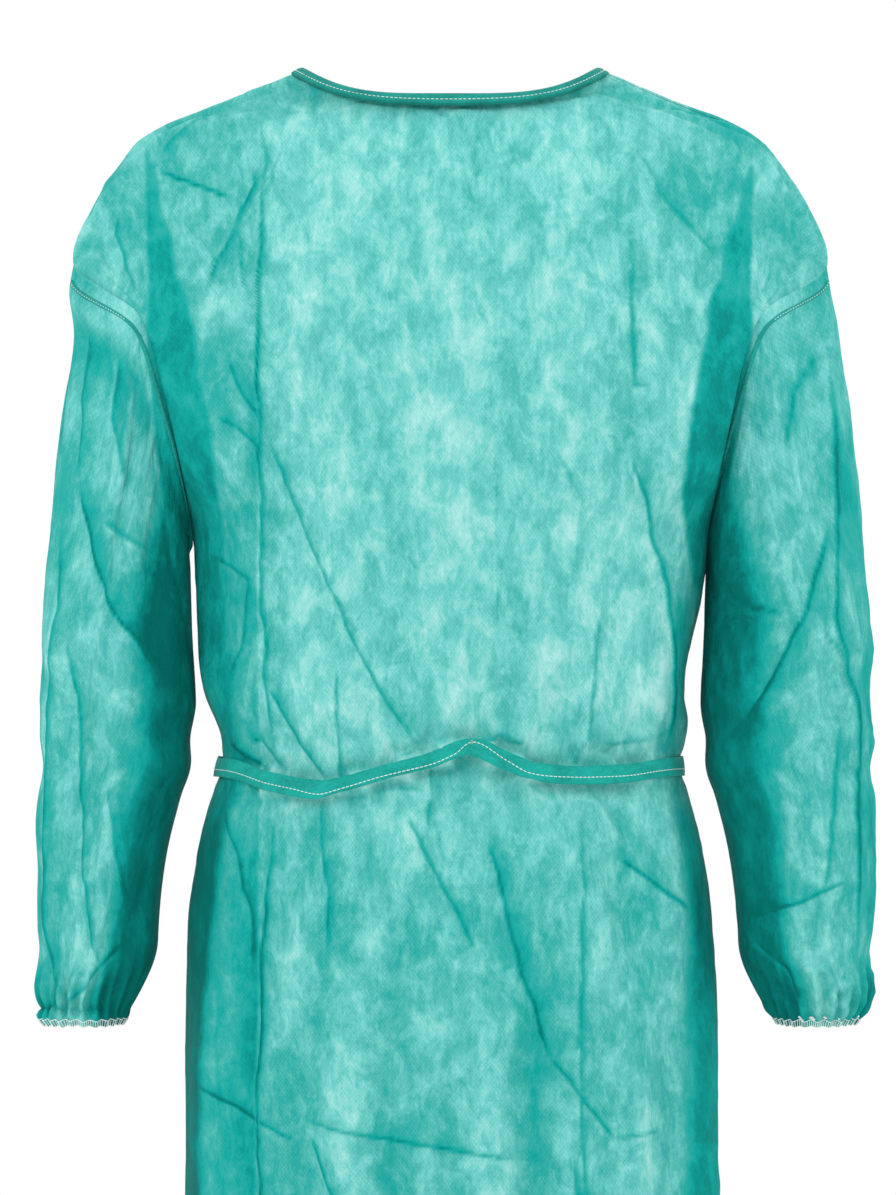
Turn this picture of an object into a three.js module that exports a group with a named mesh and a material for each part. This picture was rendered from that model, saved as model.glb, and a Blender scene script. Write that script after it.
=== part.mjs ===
// Disposable patient / isolation gown, worn and hanging: one front panel, two overlapping back
// panels, set-in long sleeves with elastic cuffs, a bound neck, and a waist tie that is tacked
// at the centre front. Both ties end in a bow at the back.
//
// Millimetres. +Z is up, +X is the wearer's left, and the front faces -Y.
// The origin is midway between the two points where the neck edge crosses the shoulders.
import * as THREE from "three";

// ---- Cloth and clearances
const CLOTH = 1.6;            // wall of every fabric piece
const SEAM_GAP = 0.6;         // between two panels that are sewn edge to edge
const LAYER_GAP = 0.6;        // between a trim or an inner layer and the cloth it lies on
const THREAD = 0.8;           // sewing thread drawn as a flat bead
const THREAD_HEIGHT = 0.5;
const THREAD_GAP = 0.5;

// ---- Neck
const NECK_HALF_WIDTH = 107;
const NECK_DEPTH_FRONT = 62;
const NECK_DEPTH_BACK = 58;
const NECK_SCOOP_FRONT = 27;
const NECK_SCOOP_BACK = 14;
const NECK_SQUARENESS = 3.5;  // 2 is an ellipse; higher is flatter in the middle
const BINDING_WIDTH = 9;
const BINDING_WALL = 0.7;
const BINDING_OVERHANG = 2.5; // how far the binding stands past the cloth's raw edge
const BINDING_END_GAP = 7;    // half of the gap at the back, where the knot sits

// ---- Shoulders and armholes
const SHOULDER_HALF_WIDTH = 274;
const SHOULDER_DROP = 142;
const ARMHOLE_DROP = 200;     // from the end of the shoulder down to the underarm point
const ARMHOLE_DEPTH = 58;     // how far the armhole edge stands forward over the upper arm

// ---- Body
const UNDERARM_HALF_WIDTH = 187;
const WAIST_HALF_WIDTH = 166;
const SKIRT_HALF_WIDTH = 191;
const CHEST_DEPTH_FRONT = 124;
const CHEST_DEPTH_BACK = 113;
const WAIST_DEPTH_FRONT = 104;
const WAIST_DEPTH_BACK = 94;
const SKIRT_DEPTH_FRONT = 128;
const SKIRT_DEPTH_BACK = 122;
const WAIST_BELOW_UNDERARM = 161;
const SKIRT_LENGTH = 647;     // waist to hem
const BACK_OVERLAP = 95;      // how far each back panel passes the centre line

// ---- Sleeves
const ELBOW_BELOW_UNDERARM = 68;
const FOREARM_LENGTH = 282;
const SLEEVE_WIDTH = 122;
const SLEEVE_DEPTH = 118;
const CUFF_WIDTH = 56;
const CUFF_DEPTH = 52;
const FOREARM_LEAN = 22;      // how far forward of the shoulder the cuff hangs
const ARMPIT_GAP = 5;         // sleeve to body at the elbow line; it widens below
const ELASTIC_WIDTH = 6;
const ELASTIC_WALL = 1;
const OVERLOCK_HEIGHT = 2.4;

// ---- Ties
const TIE_WIDTH = 13.5;
const TIE_WALL = 1.4;
const TIE_LIFT = 1.7;         // the tie lies on gathered cloth, not on the bare panel
const TACK_WIDTH = 5;
const TACK_X = 14;            // the tack sits a little to the wearer's left
const WAIST_KNOT = 15;
const NECK_KNOT = 11;
const WAIST_TAIL_LENGTH = 280;
const NECK_TAIL_LENGTH = 150;
const WAIST_LOOP_LENGTH = 62;
const NECK_LOOP_LENGTH = 40;

// ---- Colours
const GOWN_TEAL = 0x6fc8bd;
const TRIM_TEAL = 0x0fa898;
const THREAD_WHITE = 0xeef6f2;
const ELASTIC_WHITE = 0xf2f2ee;

const fabric = (color) => new THREE.MeshStandardMaterial({ color, roughness: 0.85, metalness: 0 });

// ---------------------------------------------------------------- curves through stations

// Smooth curve through [t, value] stations that never overshoots them.
function through(stations) {
  const last = stations.length - 1;
  const slope = (i) => (stations[i + 1][1] - stations[i][1]) / (stations[i + 1][0] - stations[i][0]);
  const tangents = stations.map((_, i) => {
    if (i === 0) return slope(0);
    if (i === last) return slope(last - 1);
    const before = slope(i - 1);
    const after = slope(i);
    return before * after <= 0 ? 0 : (2 * before * after) / (before + after);
  });
  return (t) => {
    let i = 0;
    while (i < last - 1 && t > stations[i + 1][0]) i += 1;
    const [t0, v0] = stations[i];
    const [t1, v1] = stations[i + 1];
    const span = t1 - t0;
    const s = (t - t0) / span;
    const rise = s * s * (3 - 2 * s);
    return v0 + (v1 - v0) * rise
      + span * tangents[i] * s * (1 - s) * (1 - s)
      - span * tangents[i + 1] * s * s * (1 - s);
  };
}

const lerp = (a, b, t) => a + (b - a) * t;
const smooth = (t) => {
  const s = Math.min(1, Math.max(0, t));
  return s * s * (3 - 2 * s);
};

// ---------------------------------------------------------------- closed solids

// Makes one closed mesh from vertices and triangles, facing outwards whichever way it was built.
function closedMesh(points, triangles) {
  let volume = 0;
  for (const [a, b, c] of triangles) {
    volume += points[a].dot(new THREE.Vector3().crossVectors(points[b], points[c]));
  }
  const geometry = new THREE.BufferGeometry();
  const positions = points.flatMap((p) => [p.x, p.y, p.z]);
  const order = volume < 0 ? triangles.map(([a, b, c]) => [a, c, b]) : triangles;
  geometry.setAttribute("position", new THREE.Float32BufferAttribute(positions, 3));
  geometry.setIndex(order.flat());
  geometry.computeVertexNormals();
  return geometry;
}

// A sheet of cloth with thickness. at(i, j, layer) gives the point in column i and row j of the
// outer (layer 0) or inner (layer 1) face. A round sheet joins its last column to its first.
function sheet(at, columns, rows, round = false) {
  const across = round ? columns : columns + 1;
  const points = [];
  for (let layer = 0; layer < 2; layer += 1) {
    for (let j = 0; j <= rows; j += 1) {
      for (let i = 0; i < across; i += 1) points.push(at(i, j, layer));
    }
  }
  const id = (i, j, layer) => layer * across * (rows + 1) + j * across + (i % across);
  const triangles = [];
  const quad = (a, b, c, d) => triangles.push([a, b, c], [a, c, d]);
  for (let i = 0; i < columns; i += 1) {
    for (let j = 0; j < rows; j += 1) {
      quad(id(i, j, 0), id(i, j + 1, 0), id(i + 1, j + 1, 0), id(i + 1, j, 0));
      quad(id(i, j, 1), id(i + 1, j, 1), id(i + 1, j + 1, 1), id(i, j + 1, 1));
    }
    quad(id(i, 0, 0), id(i + 1, 0, 0), id(i + 1, 0, 1), id(i, 0, 1));
    quad(id(i, rows, 0), id(i, rows, 1), id(i + 1, rows, 1), id(i + 1, rows, 0));
  }
  if (!round) {
    for (let j = 0; j < rows; j += 1) {
      quad(id(0, j, 0), id(0, j, 1), id(0, j + 1, 1), id(0, j + 1, 0));
      quad(id(columns, j, 0), id(columns, j + 1, 0), id(columns, j + 1, 1), id(columns, j, 1));
    }
  }
  return closedMesh(points, triangles);
}

// A strip swept along stations. profile is a closed outline of [along, out] pairs, and
// at(station, along, out) places one of its corners. A round strip joins end to end.
function strip(at, stations, profile, round = false) {
  const corners = profile.length;
  const rings = round ? stations : stations + 1;
  const points = [];
  for (let k = 0; k < rings; k += 1) {
    for (const [along, out] of profile) points.push(at(k / stations, along, out));
  }
  const triangles = [];
  for (let k = 0; k < stations; k += 1) {
    for (let c = 0; c < corners; c += 1) {
      const a = k * corners + c;
      const b = k * corners + ((c + 1) % corners);
      const next = ((k + 1) % rings) * corners;
      const aNext = next + c;
      const bNext = next + ((c + 1) % corners);
      triangles.push([a, b, bNext], [a, bNext, aNext]);
    }
  }
  if (!round) {
    const flat = profile.map(([along, out]) => new THREE.Vector2(along, out));
    const clockwise = THREE.ShapeUtils.isClockWise(flat);
    const end = stations * corners;
    for (const [a, b, c] of THREE.ShapeUtils.triangulateShape(flat, [])) {
      const near = clockwise ? [a, b, c] : [a, c, b];
      const far = clockwise ? [end + a, end + c, end + b] : [end + a, end + b, end + c];
      triangles.push(near, far);
    }
  }
  return closedMesh(points, triangles);
}

const rectangle = (along0, along1, out0, out1) => [
  [along0, out0],
  [along1, out0],
  [along1, out1],
  [along0, out1],
];

// The same with a corner halfway along, for a strip wide enough to follow the cloth's curve.
function bentRectangle(along0, along1, out0, out1) {
  const middle = (along0 + along1) / 2;
  return [
    [along0, out0],
    [middle, out0],
    [along1, out0],
    [along1, out1],
    [middle, out1],
    [along0, out1],
  ];
}

// ---------------------------------------------------------------- the gown's base surface

// Levels run from the neck edge (0) over the shoulder, down the armhole, and down the side seam.
// edge is the side border of the front and back panels: [x, z, depth], where depth is how far
// it stands forward (front) or back (back panel) of the seam plane. centreZ is the height of
// the same level at the centre front.
const SHOULDER_CURVE = [
  // share of the way across, share of the drop, share of the drop at the centre front
  [0, 0, 0],
  [0.35, 0.18, 0.18],
  [0.56, 0.275, 0.3],
  [0.72, 0.38, 0.42],
  [0.79, 0.48, 0.55],
  [0.9, 0.68, 0.76],
  [1, 1, 1],
];
const ARMHOLE_CURVE = [
  // share of the way in, share of the way down, share of the depth
  [0.61, 0.225, 1],
  [0.79, 0.49, 0.9],
  [0.92, 0.75, 0.62],
  [1, 1, 0],
];
const UNDERARM_Z = -(SHOULDER_DROP + ARMHOLE_DROP);
const WAIST_Z = UNDERARM_Z - WAIST_BELOW_UNDERARM;
const HEM_Z = WAIST_Z - SKIRT_LENGTH;
const SIDE_CURVE = [
  // height, half width
  [lerp(UNDERARM_Z, WAIST_Z, 0.36), lerp(UNDERARM_HALF_WIDTH, WAIST_HALF_WIDTH, 0.29)],
  [lerp(UNDERARM_Z, WAIST_Z, 0.73), lerp(UNDERARM_HALF_WIDTH, WAIST_HALF_WIDTH, 0.67)],
  [WAIST_Z, WAIST_HALF_WIDTH],
  [WAIST_Z - 29, lerp(WAIST_HALF_WIDTH, SKIRT_HALF_WIDTH, 0.32)],
  [WAIST_Z - 73, lerp(WAIST_HALF_WIDTH, SKIRT_HALF_WIDTH, 0.72)],
  [WAIST_Z - 131, lerp(WAIST_HALF_WIDTH, SKIRT_HALF_WIDTH, 0.96)],
  [WAIST_Z - 200, SKIRT_HALF_WIDTH],
  [HEM_Z, SKIRT_HALF_WIDTH],
];

const LEVELS = [
  ...SHOULDER_CURVE.map(([across, down, centre]) => ({
    x: lerp(NECK_HALF_WIDTH, SHOULDER_HALF_WIDTH, across),
    z: -SHOULDER_DROP * down,
    depth: 0,
    centre,
    lower: false,
  })),
  ...ARMHOLE_CURVE.map(([inward, down, depth]) => ({
    x: lerp(SHOULDER_HALF_WIDTH, UNDERARM_HALF_WIDTH, inward),
    z: -SHOULDER_DROP - ARMHOLE_DROP * down,
    depth: ARMHOLE_DEPTH * depth,
    lower: true,
  })),
  ...SIDE_CURVE.map(([z, x]) => ({ x, z, depth: 0, lower: true })),
];
const SHOULDER_END = SHOULDER_CURVE.length - 1;
const UNDERARM = SHOULDER_END + ARMHOLE_CURVE.length;
const HEM = LEVELS.length - 1;
const CENTRE_SAG = 10;        // the level through the shoulder's end dips this far at the centre

const levelCurve = (value) => through(LEVELS.map((level, i) => [i, value(level, i)]));
const edgeX = levelCurve((level) => level.x);
const edgeZ = levelCurve((level) => level.z);
const edgeDepth = levelCurve((level) => level.depth);
const centreZ = [NECK_SCOOP_FRONT, NECK_SCOOP_BACK].map((scoop) =>
  levelCurve((level, i) => {
    if (!level.lower) return lerp(-scoop, -SHOULDER_DROP - CENTRE_SAG, level.centre);
    return i === SHOULDER_END + 1 ? level.z - CENTRE_SAG / 2 : level.z;
  }));
const squareness = through([
  [0, NECK_SQUARENESS],
  [2, 2.4],
  [SHOULDER_END, 2],
  [HEM, 2],
]);

// Depth of the body at the centre, from height.
const bodyDepth = [
  [NECK_SCOOP_FRONT, NECK_DEPTH_FRONT, CHEST_DEPTH_FRONT, WAIST_DEPTH_FRONT, SKIRT_DEPTH_FRONT],
  [NECK_SCOOP_BACK, NECK_DEPTH_BACK, CHEST_DEPTH_BACK, WAIST_DEPTH_BACK, SKIRT_DEPTH_BACK],
].map(([scoop, neck, chest, waist, skirt]) => through([
  [HEM_Z, skirt],
  [WAIST_Z - 200, lerp(waist, skirt, 0.88)],
  [WAIST_Z - 131, lerp(waist, skirt, 0.7)],
  [WAIST_Z - 73, lerp(waist, skirt, 0.46)],
  [WAIST_Z - 29, lerp(waist, skirt, 0.2)],
  [WAIST_Z, waist],
  [lerp(UNDERARM_Z, WAIST_Z, 0.73), lerp(chest, waist, 0.7)],
  [lerp(UNDERARM_Z, WAIST_Z, 0.36), lerp(chest, waist, 0.3)],
  [UNDERARM_Z + 30, chest],
  [UNDERARM_Z + 90, chest],
  [-SHOULDER_DROP - CENTRE_SAG, lerp(neck, chest, 0.85)],
  [-100, lerp(neck, chest, 0.6)],
  [-60, lerp(neck, chest, 0.34)],
  [-scoop, neck],
]));

const FRONT = 0;
const BACK = 1;

// Point of the base surface: u runs from -1 (wearer's right) to 1, v is the level.
function basePoint(face, u, v) {
  const s = Math.sin((u * Math.PI) / 2);
  const c = Math.cos((u * Math.PI) / 2);
  const border = edgeDepth(v);
  const middle = bodyDepth[face](centreZ[face](v));
  const depth = border + (middle - border) * c;
  const sag = 1 - Math.abs(s) ** squareness(v);
  return new THREE.Vector3(
    edgeX(v) * s,
    face === FRONT ? -depth : depth,
    lerp(edgeZ(v), centreZ[face](v), sag),
  );
}

// Same point moved out along the surface normal.
function bodyPoint(face, u, v, out) {
  const step = 1e-3;
  const v0 = Math.max(0, v - step);
  const v1 = Math.min(HEM, v + step);
  const alongU = basePoint(face, u + step, v).sub(basePoint(face, u - step, v));
  const alongV = basePoint(face, u, v1).sub(basePoint(face, u, v0));
  const normal = alongV.cross(alongU).normalize();
  if (face === BACK) normal.negate();
  return basePoint(face, u, v).addScaledVector(normal, out);
}

// Millimetres per level, walking away from the neck edge.
const levelLength = (face, u, v) =>
  basePoint(face, u, v + 0.02).distanceTo(basePoint(face, u, v)) / 0.02;

// Level that lies at a height, below the underarm.
function levelAt(z) {
  let above = UNDERARM;
  let below = HEM;
  for (let i = 0; i < 40; i += 1) {
    const middle = (above + below) / 2;
    if (edgeZ(middle) > z) above = middle;
    else below = middle;
  }
  return above;
}

// ---------------------------------------------------------------- body panels

const ROWS = 2 * HEM;         // two rows a level
const SEAM_U = SEAM_GAP / 2 / (SKIRT_DEPTH_FRONT * Math.PI / 2);

// Level of a panel's row j. The first row stops inside the neck binding.
function panelLevel(face, u, j) {
  const start = BINDING_OVERHANG / levelLength(face, u, 0);
  return j === 0 ? start : j / 2;
}

// The seam keeps its clearance where a panel gets narrow in depth.
const edgeU = (v) => 1 - SEAM_U * Math.max(1, SKIRT_DEPTH_FRONT / bodyDepth[FRONT](edgeZ(v)));

function frontPanel() {
  const columns = 24;
  return sheet((i, j, layer) => {
    const border = edgeU(j / 2);
    const u = lerp(-border, border, i / columns);
    return bodyPoint(FRONT, u, panelLevel(FRONT, u, j), -CLOTH * layer);
  }, columns, ROWS);
}

// The two back panels meet at the neck binding and overlap below it, where the wearer's right
// panel has sunk under the left one.
const overlapAt = (v) => lerp(-SEAM_GAP / 2, BACK_OVERLAP, smooth((v - 1) / 4));
const sunkAt = (v) => (CLOTH + LAYER_GAP) * smooth((v - 0.5) * 2);

function backPanel(side) {
  const columns = 18;
  return sheet((i, j, layer) => {
    const v = j / 2;
    const freeU = (-2 / Math.PI) * Math.asin(overlapAt(v) / edgeX(v));
    const share = i / columns;
    const u = side * lerp(freeU, edgeU(v), share);
    const sunk = side < 0 ? sunkAt(v) * smooth((1 - share) * 3) : 0;
    return bodyPoint(BACK, u, panelLevel(BACK, u, j), -sunk - CLOTH * layer);
  }, columns, ROWS);
}

// ---------------------------------------------------------------- seams inside the body

// A seam bead runs along a border, just inside the cloth.
const SEAM_OUT = -CLOTH - LAYER_GAP;
const SEAM_BEAD = 1.5;
const SEAM_WIDTH = 4;
const CURVE_GAP = 1.4;        // more room where cloth and bead both curve

function bodySeam(side, from, to, stations) {
  const along = SEAM_WIDTH / 2;
  return strip((share, across, out) => {
    const v = lerp(from, to, share);
    const face = across < 0 ? FRONT : BACK;
    const width = Math.abs(across) / (bodyDepth[face](centreZ[face](v)) * Math.PI / 2);
    return bodyPoint(face, side * (1 - width), v, out - CURVE_GAP);
  }, stations, rectangle(-along, along, SEAM_OUT - SEAM_BEAD, SEAM_OUT));
}

// ---------------------------------------------------------------- neck binding

// Walks the neck edge from the back opening round the front to the back opening again.
// turn is 0 at the centre back, 0.5 at the centre front.
function neckPoint(turn, along, out) {
  const angle = turn * 4;     // in quarter turns
  let face = BACK;
  let u = angle;
  if (angle > 1 && angle < 3) {
    face = FRONT;
    u = 2 - angle;
  } else if (angle >= 3) {
    u = angle - 4;
  }
  return bodyPoint(face, u, along / levelLength(face, u, 0), out);
}

const NECK_STEPS = 80;
const NECK_END = BINDING_END_GAP / (4 * NECK_HALF_WIDTH * Math.PI / 2);
const neckTurn = (share) => lerp(NECK_END, 1 - NECK_END, share);

// A folded tape that holds the cloth's edge between its two walls.
function neckBinding() {
  const top = LAYER_GAP;
  const bottom = -CLOTH - LAYER_GAP;
  const fold = BINDING_OVERHANG - 1;
  const profile = [
    [0, bottom - BINDING_WALL],
    [BINDING_WIDTH, bottom - BINDING_WALL],
    [BINDING_WIDTH, bottom],
    [fold, bottom],
    [fold, top],
    [BINDING_WIDTH, top],
    [BINDING_WIDTH, top + BINDING_WALL],
    [0, top + BINDING_WALL],
  ];
  return strip((share, along, out) => neckPoint(neckTurn(share), along, out), NECK_STEPS, profile);
}

function neckStitch() {
  const line = BINDING_WIDTH * 0.68;
  const out = LAYER_GAP + BINDING_WALL + THREAD_GAP;
  return strip(
    (share, along, up) => neckPoint(neckTurn(share), along, up),
    NECK_STEPS,
    rectangle(line - THREAD / 2, line + THREAD / 2, out, out + THREAD_HEIGHT),
  );
}

// ---------------------------------------------------------------- waist tie

// Height of the tie's centre line above the waist, across the front.
const TIE_CURVE = through([
  [-SKIRT_HALF_WIDTH, -4],
  [-WAIST_HALF_WIDTH * 0.95, -4],
  [-WAIST_HALF_WIDTH * 0.53, -20],
  [TACK_X, 9],
  [TACK_X + 44, -9],
  [WAIST_HALF_WIDTH * 0.95, -4],
  [SKIRT_HALF_WIDTH, -4],
]);

function tiePoint(turn, along, out) {
  const angle = turn * 4;
  const front = angle > 1 && angle < 3;
  let u = front ? 2 - angle : angle;
  if (angle >= 3) u = angle - 4;
  const x = WAIST_HALF_WIDTH * Math.sin((u * Math.PI) / 2);
  const height = WAIST_Z + (front ? TIE_CURVE(x) : -4) - along;
  return bodyPoint(front ? FRONT : BACK, u, levelAt(height), out);
}

const TIE_END = (WAIST_KNOT / 2 + 1) / (4 * WAIST_HALF_WIDTH * Math.PI / 2);
const tieTurn = (share) => lerp(TIE_END, 1 - TIE_END, share);
const TIE_TOP = TIE_LIFT + TIE_WALL;
const TIE_STEPS = 80;
const THREAD_OUT = TIE_TOP + THREAD_GAP;

function waistTie() {
  return strip(
    (share, along, out) => tiePoint(tieTurn(share), along, out),
    TIE_STEPS,
    bentRectangle(-TIE_WIDTH / 2, TIE_WIDTH / 2, TIE_LIFT, TIE_TOP),
  );
}

function waistStitch() {
  const line = TIE_WIDTH * 0.3;
  return strip(
    (share, along, out) => tiePoint(tieTurn(share), along, out),
    TIE_STEPS,
    rectangle(line - THREAD / 2, line + THREAD / 2, THREAD_OUT, THREAD_OUT + THREAD_HEIGHT),
  );
}

// The few stitches that hold the tie to the front panel, on its upper half.
function waistTack() {
  const centre = 0.5 - (TACK_X / WAIST_HALF_WIDTH) * (2 / Math.PI) / 4;
  const half = TACK_WIDTH / 2 / (4 * WAIST_HALF_WIDTH * Math.PI / 2);
  return strip(
    (share, along, out) => tiePoint(lerp(centre - half, centre + half, share), along, out),
    4,
    rectangle(-TIE_WIDTH * 0.4, TIE_WIDTH * 0.1, THREAD_OUT, THREAD_OUT + 0.8),
  );
}

// ---------------------------------------------------------------- bows

// Point over the back: x across, a distance below a level, and a height off the cloth.
function overBack(level, x, below, out) {
  const v = level + below / levelLength(BACK, 0, level);
  return bodyPoint(BACK, (2 / Math.PI) * Math.asin(x / edgeX(v)), v, out);
}

// Each bow sits on the cloth's centre line: its level, and how far its tie stands off the cloth.
const NECK_BOW = {
  level: (BINDING_WIDTH * 0.5) / levelLength(BACK, 0, 0),
  lift: LAYER_GAP + BINDING_WALL + LAYER_GAP,
  size: NECK_KNOT,
  width: BINDING_WIDTH,
  loop: NECK_LOOP_LENGTH,
  tail: NECK_TAIL_LENGTH,
};
const WAIST_BOW = {
  level: levelAt(WAIST_Z - 4),
  lift: TIE_LIFT + TIE_WALL + LAYER_GAP,
  size: WAIST_KNOT,
  width: TIE_WIDTH,
  loop: WAIST_LOOP_LENGTH,
  tail: WAIST_TAIL_LENGTH,
};
const KNOT_FLATNESS = 0.62;
const KNOT_HEIGHT = 1.05;
const LOOP_LIFT = 5;          // the loops and tails stand this far above the tie's outer face

// A knot is a squashed ball, wider than it is deep.
function knot(bow) {
  const geometry = new THREE.SphereGeometry(bow.size / 2, 16, 10);
  const centre = overBack(bow.level, 0, 0, bow.lift + (bow.size * KNOT_FLATNESS) / 2);
  geometry.scale(1, KNOT_FLATNESS, KNOT_HEIGHT);
  geometry.rotateX(slopeAt(bow.level));
  geometry.translate(centre.x, centre.y, centre.z);
  return geometry;
}

// Angle by which the back leans out of the vertical at a level.
function slopeAt(level) {
  const down = basePoint(BACK, 0, level + 0.1).sub(basePoint(BACK, 0, level));
  return Math.atan2(down.y, -down.z);
}

// A flat ribbon along a curve, its width turned towards a given direction.
function ribbon(curve, width, wall, steps, across) {
  return strip((share, side, out) => {
    const along = curve.getTangentAt(share);
    const wide = across(share);
    wide.addScaledVector(along, -wide.dot(along)).normalize();
    const thick = new THREE.Vector3().crossVectors(along, wide);
    return curve.getPointAt(share).addScaledVector(wide, side).addScaledVector(thick, out);
  }, steps, rectangle(-width / 2, width / 2, -wall / 2, wall / 2));
}

// A bow loop leaves the knot sideways, sags, and comes back to it, edge on to the back.
function bowLoop(bow, side) {
  const start = bow.size / 2 + LAYER_GAP + TIE_WALL;
  const near = bow.lift + bow.width / 2 + 1;
  const far = near + LOOP_LIFT;
  const curve = new THREE.CatmullRomCurve3([
    [start, -bow.size * 0.2, near],
    [bow.loop * 0.55, -bow.size * 0.3, far],
    [bow.loop * 0.93, bow.size * 0.15, far],
    [bow.loop, bow.size * 0.55, near + 2],
    [bow.loop * 0.88, bow.size * 0.9, near],
    [bow.loop * 0.5, bow.size * 0.62, near],
    [start, bow.size * 0.2, near],
  ].map(([x, below, out]) => overBack(bow.level, side * x, below, out)));
  return ribbon(curve, bow.width, TIE_WALL, 28, () => new THREE.Vector3(0, 1, 0));
}

// A tail hangs down the back from under the knot: a flattened eight-sided tube, cut to length.
function tail(bow, side) {
  const points = [];
  const drift = bow.width * 1.1;
  const stepDown = 4;
  let walked = 0;
  const below = bow.size * KNOT_HEIGHT * 0.5 + LAYER_GAP + TIE_WALL;
  let v = bow.level + below / levelLength(BACK, 0, bow.level);
  while (walked < bow.tail) {
    const share = walked / bow.tail;
    const x = side * (bow.width * 0.3 + drift * smooth(share * 1.6));
    const out = bow.lift + bow.size * KNOT_FLATNESS * 0.5 - 2 * smooth(share * 3);
    points.push(bodyPoint(BACK, (2 / Math.PI) * Math.asin(x / edgeX(v)), v, out));
    v += stepDown / levelLength(BACK, 0, v);
    walked += stepDown;
  }
  const curve = new THREE.CatmullRomCurve3(points);
  const outline = Array.from({ length: 8 }, (_, k) => {
    const angle = ((k + 0.5) / 8) * 2 * Math.PI;
    return [Math.cos(angle) / 2, (Math.sin(angle) * TIE_WALL * 1.6) / 2];
  });
  return strip((share, wide, thick) => {
    const along = curve.getTangentAt(share);
    const out = new THREE.Vector3(1, 0, 0).cross(along).normalize();
    const width = bow.width * lerp(0.35, 1, smooth(share * 4));
    return curve.getPointAt(share).add(new THREE.Vector3(width * wide, 0, 0))
      .addScaledVector(out, thick);
  }, 24, outline);
}

// ---------------------------------------------------------------- sleeves

const ELBOW_Z = UNDERARM_Z - ELBOW_BELOW_UNDERARM;
const CUFF_Z = ELBOW_Z - FOREARM_LENGTH;

// Sleeve below the elbow line, by share of its length: gap to the body, width and depth.
const forearmGap = through([
  [0, ARMPIT_GAP],
  [0.18, ARMPIT_GAP + 4],
  [0.3, ARMPIT_GAP + 14],
  [0.59, ARMPIT_GAP + 14],
  [0.79, ARMPIT_GAP + 13],
  [1, ARMPIT_GAP + 39],
]);
const forearmWidth = through([
  [0, SLEEVE_WIDTH * 0.98],
  [0.18, SLEEVE_WIDTH],
  [0.28, SLEEVE_WIDTH * 0.97],
  [0.43, SLEEVE_WIDTH * 0.915],
  [0.59, SLEEVE_WIDTH * 0.835],
  [0.79, SLEEVE_WIDTH * 0.77],
  [0.9, SLEEVE_WIDTH * 0.69],
  [0.96, lerp(CUFF_WIDTH, SLEEVE_WIDTH * 0.69, 0.45)],
  [1, CUFF_WIDTH],
]);
const forearmDepth = through([
  [0, SLEEVE_DEPTH],
  [0.6, SLEEVE_DEPTH * 0.88],
  [0.85, SLEEVE_DEPTH * 0.82],
  [0.93, SLEEVE_DEPTH * 0.7],
  [1, CUFF_DEPTH],
]);

// Ring of the sleeve at a share of the forearm. q turns from the outer side (0) over the
// front (0.25) and the side next to the body (0.5) to the back (0.75).
function forearmPoint(side, q, share) {
  const z = lerp(ELBOW_Z, CUFF_Z, share);
  const width = forearmWidth(share);
  const body = edgeX(levelAt(z));
  const centre = body + forearmGap(share) + width / 2;
  const angle = q * 2 * Math.PI;
  return new THREE.Vector3(
    side * (centre + (Math.cos(angle) * width) / 2),
    -FOREARM_LEAN * share ** 1.5 - (Math.sin(angle) * forearmDepth(share)) / 2,
    z,
  );
}

// The sleeve's edge stands this far out of the panel's edge, and starts this far down from it:
// the fold between them sharpens as the shoulder gets wider.
const SLEEVE_SHIFT = 0.011 * SHOULDER_HALF_WIDTH;
const SLEEVE_START = 0.005 * SHOULDER_HALF_WIDTH;

// Armhole edge at q: down the front border to the underarm and up the back border.
function armholePoint(side, q) {
  const down = 1 - Math.abs(1 - 2 * q);
  const v = lerp(SHOULDER_END, UNDERARM, down);
  const point = basePoint(q <= 0.5 ? FRONT : BACK, side, v);
  point.x += side * SLEEVE_SHIFT;
  return point;
}

// The upper sleeve runs from the armhole edge to the elbow ring.
const UPPER_BULGE = 3;
function upperPoint(side, q, share) {
  const from = armholePoint(side, q);
  const to = forearmPoint(side, q, 0);
  const point = from.lerp(to, share);
  const angle = q * 2 * Math.PI;
  const swell = UPPER_BULGE * Math.sin(Math.PI * share) * (1 + Math.cos(angle)) / 2;
  point.x += side * Math.cos(angle) * swell;
  point.y -= Math.sin(angle) * swell;
  return point;
}

// Moves a sleeve point out along the sleeve's own normal.
function sleevePoint(surface, side, q, share, out) {
  const step = 1e-3;
  const around = surface(side, q + step, share).sub(surface(side, q - step, share));
  const down = surface(side, q, Math.min(1, share + step))
    .sub(surface(side, q, Math.max(0, share - step)));
  const normal = around.cross(down).normalize().multiplyScalar(side);
  return surface(side, q, share).addScaledVector(normal, out);
}

const upperLength = (side, q) => upperPoint(side, q, 0).distanceTo(upperPoint(side, q, 1));
const turnOf = (q) => ((q % 1) + 1) % 1;

const SLEEVE_COLUMNS = 28;

function upperSleeve(side) {
  const columns = SLEEVE_COLUMNS;
  const rows = 9;
  return sheet((i, j, layer) => {
    const q = turnOf(i / columns);
    const length = upperLength(side, q);
    const share = lerp(SLEEVE_START / length, 1 - SEAM_GAP / 2 / length, j / rows);
    return sleevePoint(upperPoint, side, q, share, -CLOTH * layer);
  }, columns, rows, true);
}

function lowerSleeve(side) {
  const columns = SLEEVE_COLUMNS;
  const rows = 16;
  const start = SEAM_GAP / 2 / FOREARM_LENGTH;
  return sheet((i, j, layer) => {
    const share = start + (1 - start) * (j / rows) ** 0.75;
    return sleevePoint(forearmPoint, side, turnOf(i / columns), share, -CLOTH * layer);
  }, columns, rows, true);
}

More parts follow.
